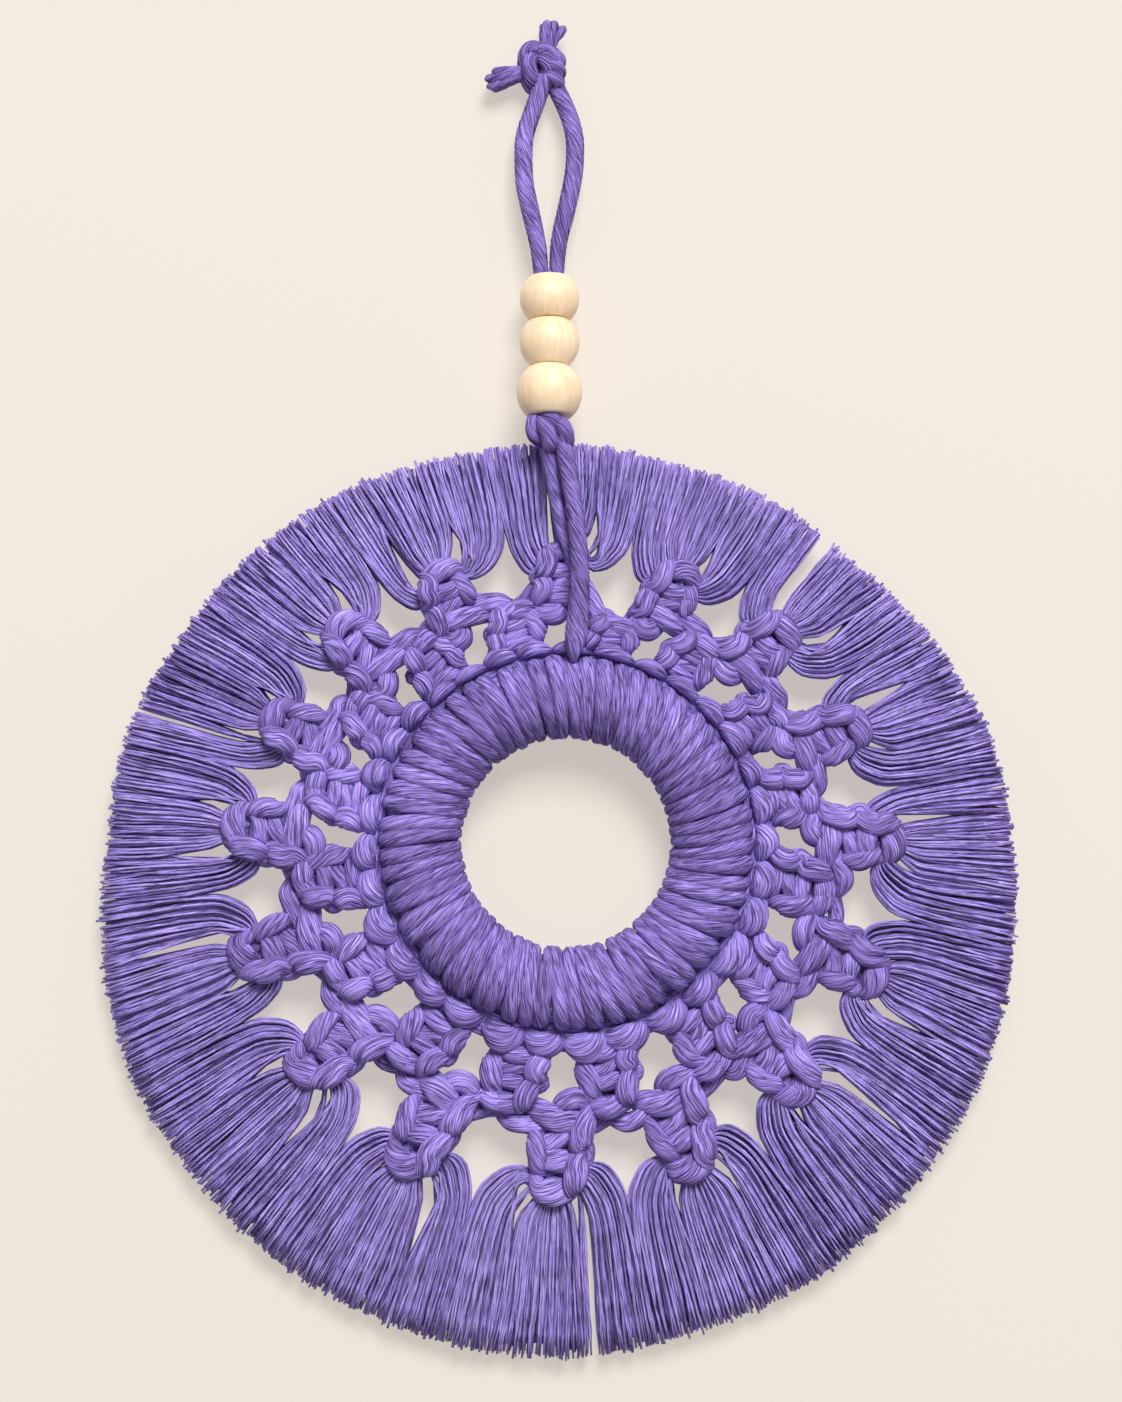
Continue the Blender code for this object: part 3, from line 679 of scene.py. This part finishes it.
def bight(left, right, outer):
    """A crescent along the ring's edge: narrow at both ends, it bulges outward and forward."""
    count = len(BIGHT_ALONG)
    half = (outer + BIGHT_TUCK - BIGHT_INNER) / 2 * np.array(BIGHT_WIDTHS)
    angles = np.interp(BIGHT_ALONG, (0, 1), (left, right)) + random.normal(0, 0.3, count)
    lift = BIGHT_LIFTS + random.normal(0, 0.2, count)
    points = spot(angles, np.zeros(count), BIGHT_INNER + half, lift)
    fronts = FRONT + 0.25 * directions(angles)[0]
    widths = np.stack((half, BIGHT_DEPTHS), 1)
    return cord(np.concatenate((points, fronts, widths), 1), 24, 22, twist=0.15)


# A cord between two knots: 0 from the first-row knot and its end or 1 from the second-row knot
# and its start, across as a share of the way between them, mm outward, mm forward, the way its
# flat side faces in degrees, half width and half thickness. Across counts towards +angle.
ARCH = np.array((
    (0, 0.14, -2.0, -0.5, 0, 1.8, 1.6), (0, -0.02, -1.8, 2.6, 0, 2.7, 2.0),
    (0, -0.24, -2.0, 3.4, 0, 2.8, 2.0), (0, -0.43, -2.8, 1.5, 0, 2.5, 1.8),
    (1, 0.43, -2.5, 2.0, 0, 2.8, 1.9), (1, 0.26, -3.5, 3.3, 0, 3.0, 2.0),
    (1, 0.09, -3.0, 2.9, -25, 3.0, 2.0), (1, -0.04, -1.0, 0.8, -60, 2.6, 1.8),
    (1, 0.0, 1.5, -2.0, -60, 2.2, 1.5),
))
FROM_LEFT = np.array((
    (0, -0.14, 0.4, -1.8, 0, 1.8, 1.4), (0, 0.1, 2.4, 0.0, 0, 2.7, 1.8),
    (0, 0.3, 2.9, 1.0, 0, 2.7, 1.9), (1, -0.38, 4.2, 0.8, 0, 2.5, 1.9),
    (1, -0.2, 6.2, -1.2, 0, 1.8, 1.5),
))
FROM_RIGHT = np.array((
    (0, 0.0, 0.2, -1.8, 0, 1.8, 1.4), (0, -0.33, 2.0, -1.0, 0, 2.2, 1.6),
    (1, 0.45, 4.9, -1.2, 0, 2.0, 1.6), (1, 0.28, 7.2, -2.4, 0, 1.5, 1.3),
))
LINK_LENGTH = 17.0  # of the first-row knots drawn here
LINK_ERROR = 0.2  # millimetres


def loosened(values):
    """Lengths with small errors of the hand."""
    return values + random.normal(0, LINK_ERROR, len(values))


def between(first, second, table, rows):
    """A cord from a first-row knot to a second-row knot, through the points of a table."""
    which, across, outward, forward, face = table[:, :5].T
    way = np.radians(abs(second[0] - first[0])) * second[1]
    angles = np.where(which > 0, second[0], first[0])
    nearer = 0.35 * (first[2] - first[1] - LINK_LENGTH) * (outward > 0)
    radii = np.where(which > 0, second[1], first[2] + nearer) + loosened(outward)
    points = spot(angles, loosened(way * across), radii, loosened(forward))
    return cord(np.concatenate((points, facing(angles, face), table[:, 5:]), 1), rows)


total = 0
for index in range(16):
    row, before, after = FIRST_ROW[index], SECOND_ROW[index - 1].copy(), SECOND_ROW[index]
    before[0] -= 360.0 if index == 0 else 0.0
    cords = square_knot(row, True)
    for at in (2 * index, 2 * index + 1):
        cords.append(bight(BIGHTS[at], BIGHTS[at + 1], BIGHT_OUTER[at]))
    cords.append(between(row, before, ARCH, 50))
    cords.append(between(row, after, FROM_LEFT, 24))
    cords.append(between(row, before, FROM_RIGHT, 16))
    name = f"{index + 1:02d}"
    total += piece(f"net_knot_{name}", cords, COTTON, [f"first_knot_{name}"])
print("first row:", total, "triangles")

# %% [markdown]
# ## The fringe
#
# Below each second-row knot its four cords are combed out into three bundles of threads. Two
# leave the knot's sides, turn and run outwards. The third opens straight below it. A
# thread keeps its share of its bundle all the way to the trimmed rim. Here and there the
# threads part, and the plain backdrop shows between them.

# %% How the bundles lie
# Distance past the knot's end in mm, and share of the thread's own angle at the rim.
LEFT_OUTER = np.array((
    (-7.6, 0.22), (-8.7, 0.49), (-7.4, 0.7), (-3.6, 0.86), (0.8, 0.95), (12.0, 1.0),
))
RIGHT_OUTER = np.array((
    (-9.6, 0.32), (-10.1, 0.59), (-8.6, 0.77), (-4.8, 0.89), (0.2, 0.96), (12.0, 1.0),
))
INNER = np.array((
    (-5.0, 0.22), (-4.6, 0.42), (-2.5, 0.6), (0.5, 0.76), (5.0, 0.92), (14.0, 0.98),
))
CENTRE = np.array((
    (-6.0, 0.26), (-3.0, 0.38), (-1.0, 0.5), (4.4, 0.86), (9.0, 0.94), (17.3, 0.97),
))
KNOT_LENGTH = 24.8  # of the knot drawn here
SETTLE = (0.2, 0.6, 0.9, 1.0, 1.0, 1.0, 1.0, 1.0)  # how far apart the layers lie at each point
OPEN_BEFORE, OPEN_REACH = 5.0, 7.0  # mm before a parting where it begins, and to its sides


def opened(lines, rim_angle):
    """Opens the partings: a thread at distance d from one moves to sqrt(d d + w w) from it.

    It goes to the side where it ends at the rim. The width w narrows to nothing at the
    parting's end, and the push dies away as exp(-(d / reach) squared).
    """
    from_centre = lines - RING_CENTRE
    radius = np.hypot(from_centre[..., 0], from_centre[..., 2])
    angle = np.degrees(np.arctan2(from_centre[..., 0], -from_centre[..., 2]))
    push = np.zeros_like(radius)
    for middle, start, end, half in PARTINGS:
        towards = np.sign((rim_angle - middle + 180) % 360 - 180)[:, None]
        off = np.radians((angle - middle + 180) % 360 - 180) * radius * towards
        begin = start - OPEN_BEFORE
        along = np.clip((radius - begin) / (end - begin), 0, 1)
        width = half * np.minimum(1, 5 * along) * np.sqrt(1 - along)
        moved = np.hypot(np.maximum(off, 0), width) - off
        push += towards * moved * np.exp(-((off / OPEN_REACH) ** 2)) * (width > 0)
    return lines + push[..., None] * directions(angle)[1]


def lie_of(row, rims, tables, order, rim, layer, rows):
    """Smooth lines of threads that run from a knot to their own angles at the rim.

    A thread's angle at each radius is the knot's, plus the share in the table times the rest
    of the way to its angle at the rim.
    """
    angle, start, end = row
    table = tables[0] + order[:, None, None] * (tables[1] - tables[0])
    rim_angle = rims[0] + order * (rims[1] - rims[0])
    rim = fringe_radius(rim_angle) + rim
    beyond, part = math.sqrt((end - start) / KNOT_LENGTH) * table[..., 0], table[..., 1]
    radii = end + np.concatenate((beyond, (beyond[:, -1:] + rim[:, None] - end) / 2), 1)
    radii = np.concatenate((radii, rim[:, None]), 1)
    part = np.concatenate((part, (part[:, -1:] + 1) / 2, np.ones((len(order), 1))), 1)
    angles = angle + part * (rim_angle - angle)[:, None]
    points = spot(angles, np.zeros_like(angles), radii, layer[:, None] * SETTLE + 0.4)
    return opened(curve(points, rows, by_point=True), rim_angle), rim_angle


print("partings:", len(PARTINGS))

# %% [markdown]
# ## The combed threads
#
# Hair could grow such a fringe, but its export is heavy and its ends are hard to place. Swept
# threads with only four sides are light enough for thousands. They lie in three layers with
# dark gaps between them, each with a wave of its own and a curl at its cut end. Flat threads
# at the back close the bundle.

# %% Comb the fringe
THREAD_ROWS, THREAD_SIDES, THREAD_HALF = 15, 4, 0.43
SIDE_THREADS, CENTRE_THREADS = 58, 104
SCATTER = 0.618034  # steps by this share of a bundle put neighbours in different layers
LAYERS, LAYER_STEP, WAVE = 3, 1.15, 0.55
# Painted light: the threads get a paler tone than the knots' cords to make up for the shade that falls
# between the dense threads.
THREAD_TONES, THREAD_FINENESS = (0.55, 1.5), 1.8  # paler and finer than a whole cord
BACKING_ROWS, BACKING_DEPTH, BACKING_END = 8, -1.9, -3.5  # behind the layers, inside the rim


def bundle(row, rims, tables, count):
    """Threads of one bundle, in layers, each waving as sin(turns s) along its length s."""
    share = (np.arange(count) * SCATTER) % 1.0
    order = (np.argsort(np.argsort(share)) + 0.5) / count + random.normal(0, 0.35 / count, count)
    order = order + 0.012 * np.sin(40 * order + random.uniform(0, 6.3))
    layer = (np.arange(count) % LAYERS - 1) * LAYER_STEP + random.normal(0, 0.35, count)
    rim = random.normal(-0.7, 0.5, count)
    lines, rim_angle = lie_of(row, rims, tables, order, rim, layer, THREAD_ROWS)
    steps = np.linalg.norm(np.diff(lines, axis=1), axis=2)
    run = np.concatenate((np.zeros((count, 1)), np.cumsum(steps, 1)), 1) / steps.sum(1)[:, None]
    wave = run * WAVE * random.uniform(0.3, 1.2, (count, 1))
    phase = random.uniform(0, 6.3, (count, 2, 1))
    turns = random.uniform(3, 9, (count, 1))
    _, side, front = directions(rim_angle)
    lines = lines + (wave * np.sin(turns * run + phase[:, 0]))[..., None] * side[:, None]
    lines = lines + (wave * np.sin(turns * run + phase[:, 1]))[..., None] * front
    curl = random.normal(0, 0.35, (count, 3)) * (1, 0.6, 1)
    lines = lines + (run**8)[..., None] * curl[:, None]
    half = THREAD_HALF * np.interp(run, (0, 0.35, 0.97, 1), (0.8, 1.0, 1.0, 0.85))
    half = half * random.uniform(0.86, 1.14, (count, 1))
    return sweep(
        lines, front, half, half, THREAD_SIDES, 0.0, 0.08, 1.0, THREAD_TONES, THREAD_FINENESS
    )


def backing(row, rims, tables, count):
    """Flat threads at the back of a bundle, which keep the light out."""
    order = np.linspace(0.07, 0.93, count)
    rim = random.normal(BACKING_END, 0.8, count)
    depth = np.full(count, BACKING_DEPTH)
    lines, _ = lie_of(row, rims, tables, order, rim, depth, BACKING_ROWS)
    half = np.interp(np.arange(BACKING_ROWS), (0, 5, 7), (0.5, 1.0, 1.1))
    return sweep(
        lines, FRONT, half, 0.3, THREAD_SIDES, tones=(0.4, 1.0), fineness=THREAD_FINENESS
    )


total = 0
for index in range(16):
    row, rims = SECOND_ROW[index], FANS[index]
    cords = square_knot(row, False)
    for ends, tables, count in (
        (rims[:2], (LEFT_OUTER, INNER), SIDE_THREADS),
        (rims[2:4], (CENTRE, CENTRE), CENTRE_THREADS),
        (rims[4:], (INNER, RIGHT_OUTER), SIDE_THREADS),
    ):
        cords += [bundle(row, ends, tables, count), backing(row, ends, tables, count // 4)]
    name = f"{index + 1:02d}"
    total += piece(f"fringe_{name}", cords, COTTON, [f"tassel_{name}"])
print("fringe:", total, "triangles")

# %% [markdown]
# ## Three wooden beads
#
# Turned beads of a pale wood, flattened a little where they touch. Each is a closed profile
# turned round the beads' line, which leans forward on its way down. A sphere would be quicker,
# but it has no flats and no bore. The grain is noise that is stretched along the height.

# %% Turn the beads
CHAIN_TOP = np.array((0.45, -5.0, -54.2))
CHAIN_LEAN = math.radians(10)
CHAIN_DOWN = np.array((0.0, -math.sin(CHAIN_LEAN), -math.cos(CHAIN_LEAN)))
CHAIN_BACK = np.array((0.0, math.cos(CHAIN_LEAN), -math.sin(CHAIN_LEAN)))
# Name, distance below the top bead, radius, and lengths above and below the centre.
BEADS = (
    ("top", 0.0, 8.15, 6.0, 6.0), ("middle", 12.4, 8.2, 6.0, 6.5), ("bottom", 26.5, 8.95, 7.3, 6.6),
)
BORE_RADIUS = 3.3
PROFILE_POINTS, BORE_POINTS, BEAD_SIDES = 30, 8, 64
GRAIN_STRETCH, GRAIN_SCALE, CLOUD_SCALE = (1, 1, 0.12), 900.0, 120.0  # to a metre
WOODS = (
    (0.30, linear(224, 195, 158)), (0.52, linear(236, 213, 181)), (0.75, linear(243, 224, 197)),
)


def wood():
    """Pale wood: fine streaks up and down on broad, soft clouds of a warmer tone."""
    material, tree, shader = blank("pale_wood")
    place = result(tree, "TexCoord", {}, "Object")
    grain = noise(tree, stretched(tree, place, GRAIN_STRETCH), GRAIN_SCALE, 3.0)
    cloud = noise(tree, place, CLOUD_SCALE, 1.0)
    shade = sum_of(tree, ((grain, 0.5), (cloud, 0.5)), 0.0)
    feed(tree, shader, {"Base Color": ramp(tree, shade, WOODS), "Roughness": 0.45})
    return material


def turned(distance, radius, above, below):
    """Rings of a bead: a point at height r sin(u) stands r cos(u) off the beads' line."""
    climb = np.linspace(-math.asin(below / radius), math.asin(above / radius), PROFILE_POINTS)
    across = np.concatenate((radius * np.cos(climb), np.full(BORE_POINTS, BORE_RADIUS)))
    up = np.concatenate((radius * np.sin(climb), np.linspace(above, -below, BORE_POINTS)))
    turn = 2 * np.pi * np.arange(BEAD_SIDES)[:, None, None] / BEAD_SIDES
    line = CHAIN_TOP + (distance - up[:, None]) * CHAIN_DOWN
    around_line = np.cos(turn) * np.array((1.0, 0.0, 0.0)) + np.sin(turn) * CHAIN_BACK
    return (line + across[:, None] * around_line)[None]


WOOD = wood()
for name, *sizes in BEADS:
    rings = turned(*sizes)
    surface = [(rings, rings, np.array([0.5]))]
    piece(f"round_bead_{name}", surface, WOOD, [f"bead_{name}"], closed=True)
print("beads:", len(BEADS))

# %% [markdown]
# ## The hanging cord
#
# One doubled cord: the loop, the stretch through the beads, a knot above, a knot below and two
# legs. Its paths are points in millimetres from the hang point. A knot here is a handful of
# lobes, since its inside never shows.

# %% The hanging cord's paths
LOOP_LEFT = (
    (-0.6, -2, 7.4), (-3.6, -1, -0.8), (-6.3, -0.9, -8.8), (-6.7, -1.5, -15.7),
    (-6.3, -2.2, -22.8), (-4.7, -2.9, -30.3), (-2.6, -3.8, -40.2), (-1.7, -4.2, -50),
)
LOOP_RIGHT = (
    (1.4, 0.8, 6.1), (5.2, 0.3, -1.9), (7.2, -0.8, -8.8), (7.4, -1.5, -15.7),
    (6.7, -2.2, -22), (4.9, -2.9, -30.3), (3, -3.7, -38.9), (2.2, -4.2, -50),
)
THROUGH = ((0.45, -4, -47), (0.45, -7, -66), (0.45, -10.2, -84), (0.6, -11, -90))
FRONT_LEG = (
    (3, -12.6, -90.5), (4.7, -13.2, -96.5), (6.6, -13.2, -107), (8, -13.4, -119),
    (8.7, -13.4, -129), (8.5, -13.2, -138), (7.8, -13, -145.5), (7.2, -13.6, -150),
    (6.9, -13, -154),
)
FRONT_LEG_HALF = (2.2, 2.3, 2.4, 2.4, 2.5, 2.8, 3, 2.3, 0.5)
BACK_LEG = (
    (0, -11, -91.5), (0.2, -11.2, -95), (1.1, -10.4, -104), (2.7, -9.6, -112.3),
    (4.6, -9.2, -119.7), (6.2, -8.4, -124.5), (7, -5.5, -130),
)
TOP_LOBES = (
    ((-6.4, 0.5, 10.6), (-6, -1.4, 13.6), (-4.4, -2, 15), (-2.6, -1.6, 14.4), (-1.6, 0, 12.5)),
    ((-3.4, 0, 13.2), (-1.9, -2.2, 14.6), (0.3, -3.2, 13.8), (1.6, -2.8, 11.8), (2, -1, 9.8)),
    ((-2.2, -1.2, 12.6), (-0.9, -2.8, 11.6), (0.2, -2.9, 10), (0.4, -2.2, 8.4)),
    ((-0.5, -1, 13.6), (1.6, -2.2, 13), (3, -0.8, 11.6), (2.2, 1.8, 10.6)),
    ((-0.9, -2, 10.8), (1.6, -3, 10), (3, -1.2, 8.6), (2.4, 1.8, 7.8)),
    ((-0.8, -1.4, 8.2), (1.2, -2.6, 7.4), (2.6, -1, 6), (2, 1.6, 5.2)),
    ((-3.4, -1, 13), (-4.9, -2.6, 11.4), (-5, -2.8, 8.8), (-4.2, -2.2, 6.6), (-2.6, 0, 5)),
    ((-5.4, 1, 9.6), (-5.6, 0.4, 6.8), (-4.4, 0.6, 4.6), (-2.4, 1.6, 4.4)),
    ((-2.4, 0.6, 12.6), (-1.4, 0.2, 10.6), (-1.1, 0.2, 8.6), (-1, 0.4, 6.6)),
)
LOWER_LOBES = (
    ((-1.6, -9, -84), (-1, -12.6, -85.4), (0.9, -14, -87), (2.6, -13.4, -89), (3.4, -11, -91)),
    ((-0.8, -11, -86), (-2.8, -12.4, -87.2), (-3.8, -12.6, -89.6), (-3.3, -12, -92), (-1.6, -10, -94)),
    ((-1.8, -12.6, -87), (-0.9, -14.4, -89.4), (0.2, -14.8, -91.8), (0.8, -13.4, -94.2), (1, -11, -95.4)),
    ((2, -12.8, -88.2), (3.9, -14, -89.6), (4.9, -14, -91.8), (4.9, -12.6, -94), (4.2, -10.5, -95.6)),
)


print("lobes of its knots:", len(TOP_LOBES), "and", len(LOWER_LOBES))

# %% [markdown]
# ## Hanging it up
#
# This cord is rounder and more tightly twisted than the net's, so one helper makes every
# stretch of it. At its two cut ends the twist opens into strands.

# %% Hang it up
CORD_HALF, FLATNESS = 2.4, 0.95
HANGER_SIDES, HANGER_RIB, HANGER_TWIST, HANGER_TONES = 26, 0.06, 0.24, (0.15, 0.4)
STRAND_ROWS, STRAND_HALF = 18, 1.1  # of a frayed end's strands
LOBE_HALF, LOWER_LOBE_HALF = 2.0, 2.2


def rope(points, half=CORD_HALF, ends=(1.0, 1.0)):
    """A round cord through points, which may narrow towards its ends."""
    points = np.array(points, float)
    count = len(points)
    taper = np.interp(np.linspace(0, 1, count), (0, 0.25, 0.75, 1), (ends[0], 1, 1, ends[1]))
    widths = np.array(half) * taper
    fronts = np.broadcast_to(FRONT, (count, 3))
    table = np.concatenate((points, fronts, widths[:, None], FLATNESS * widths[:, None]), 1)
    return cord(table, 5 * count, HANGER_SIDES, HANGER_RIB, HANGER_TWIST, 1.0, HANGER_TONES)


def frayed(start, middle, end, fan, count=6):
    """A cut end: strands that leave the cord together, open out and end in round tips."""
    cords = []
    start, middle, end, fan = (np.array(p, float) for p in (start, middle, end, fan))
    for number, place in enumerate(np.linspace(-1, 1, count)):
        depth = np.array((0.0, 0.9 * (-1.0) ** number, 0.0))
        reach = random.uniform(0.80, 1.0) - 0.10 * abs(place)
        tip = middle + reach * (end - middle) + place * fan + depth + random.normal(0, 0.3, 3)
        shoulder = middle + 0.55 * place * fan + depth + random.normal(0, 0.15, 3)
        points = np.array((start + 0.3 * place * fan, shoulder, (shoulder + tip) / 2, tip))
        run = np.linspace(0, 1, STRAND_ROWS)
        half = STRAND_HALF * np.interp(run, (0, 0.5, 0.85, 0.95, 1), (0.85, 1, 1.15, 0.95, 0.3))
        line = curve(points[None], STRAND_ROWS)
        cords.append(sweep(line, FRONT, half, half, 14, 0.08, 0.35, 1.0, HANGER_TONES))
    return cords


cords = [
    rope(LOOP_LEFT, ends=(1, 0.8)), rope(LOOP_RIGHT, ends=(1, 0.8)), rope(THROUGH, 2.9),
    rope(FRONT_LEG, FRONT_LEG_HALF), rope(BACK_LEG, 1.8),
]
cords += [rope(lobe, LOBE_HALF) for lobe in TOP_LOBES]
cords += [rope(lobe, LOWER_LOBE_HALF, ends=(0.8, 0.8)) for lobe in LOWER_LOBES]
cords += frayed((-0.4, 0.5, 12.5), (0.2, 0.2, 17.0), (2.0, 0, 23.2), (2.6, 0, -0.8))
cords += frayed((-3.5, 0.0, 9.0), (-9.5, 0.0, 7.6), (-18.0, 0, 5.4), (-0.4, 0, 2.3))
total = piece("hanger", cords, COTTON, ["hanging_cord"])
print("hanger:", len(cords), "cords,", total, "triangles")

# %% [markdown]
# ## A backdrop
#
# A plain warm backdrop stands just behind. It shows only its front, so that the hanging
# can be looked at from behind as well, and it throws no shadow. A weak glow of its own keeps
# the shadows on it soft. A light node tells the shader which kind of ray has met it.

# %% Hang the backdrop
BACKDROP_DEPTH, BACKDROP_HALF = 5.6, 1500.0
corners = np.array(((-1, 0, -1), (1, 0, -1), (1, 0, 1), (-1, 0, 1))) * BACKDROP_HALF
backdrop_mesh = bpy.data.meshes.new("backdrop")
corners = (corners + (0, BACKDROP_DEPTH, 0)) * MM
backdrop_mesh.from_pydata(corners.tolist(), [], [(0, 1, 2, 3)])
paint, tree, shader = blank("warm_white")
feed(tree, shader, {
    "Base Color": linear(148, 144, 138), "Roughness": 0.9, "Specular IOR Level": 0.1,
    "Emission Color": linear(239, 231, 220), "Emission Strength": 0.58,
})
behind = result(tree, "NewGeometry", {}, "Backfacing")
shadow = result(tree, "LightPath", {}, "Is Shadow Ray")
either = result(tree, "Math", {0: behind, 1: shadow}, "Value", "MAXIMUM")
clear = result(tree, "BsdfTransparent", {}, "BSDF")
mixed = result(
    tree, "MixShader", {"Fac": either, 1: shader.outputs["BSDF"], 2: clear}, "Shader"
)
feed(tree, tree.nodes["Material Output"], {"Surface": mixed})
backdrop_mesh.materials.append(paint)
backdrop = bpy.data.objects.new("backdrop", backdrop_mesh)
bpy.context.scene.collection.objects.link(backdrop)
print("backdrop:", 2 * BACKDROP_HALF * MM, "m wide")

# %% [markdown]
# ## Light and camera
#
# A large soft light hangs above, a little to the right, and far enough off to be as bright at
# the bottom as at the top. A weak one lights the back. The camera looks straight at the
# hanging through a long lens, with a little room all round it.

# %% Set the lights and the camera
world = bpy.data.worlds.new("pale_room")
bpy.context.scene.world = world
world.use_nodes = True
room = {"Color": linear(250, 245, 240), "Strength": 0.38}
feed(world.node_tree, world.node_tree.nodes["Background"], room)


def lamp(name, place, target, size, watts, colour):
    """A square soft light that looks at a target."""
    data = bpy.data.lights.new(name, "AREA")
    data.size = size
    data.energy = watts
    data.color = colour
    thing = bpy.data.objects.new(name, data)
    thing.location = place
    look = np.array(target) - np.array(place)
    tilt = math.atan2(math.hypot(look[0], look[1]), -look[2])
    thing.rotation_euler = (tilt, 0.0, math.atan2(look[1], look[0]) - math.pi / 2)
    bpy.context.scene.collection.objects.link(thing)
    return thing


MIDDLE = (0.0, 0.0, -0.19)
key = lamp("key_light", (0.6, -3.05, 2.26), MIDDLE, 1.6, 197.0, (1.0, 0.978, 0.958))
fill = lamp("back_light", (-0.3, 0.9, 0.3), MIDDLE, 0.8, 4.0, (1.0, 0.98, 0.96))

camera_data = bpy.data.cameras.new("camera")
camera_data.lens = 93.4
camera_data.sensor_width = 36.0
camera = bpy.data.objects.new("camera", camera_data)
camera.location = (0.0036, -1.0, -0.1642)
camera.rotation_euler = (math.pi / 2, 0.0, 0.0)
bpy.context.scene.collection.objects.link(camera)
bpy.context.scene.camera = camera
bpy.context.scene.view_settings.view_transform = "Standard"
print("lamps:", key.name, "and", fill.name, "camera lens:", camera_data.lens)

# %% [markdown]
# ## Finish
#
# The view layer is brought up to date.

# %% Finish
bpy.context.view_layer.update()
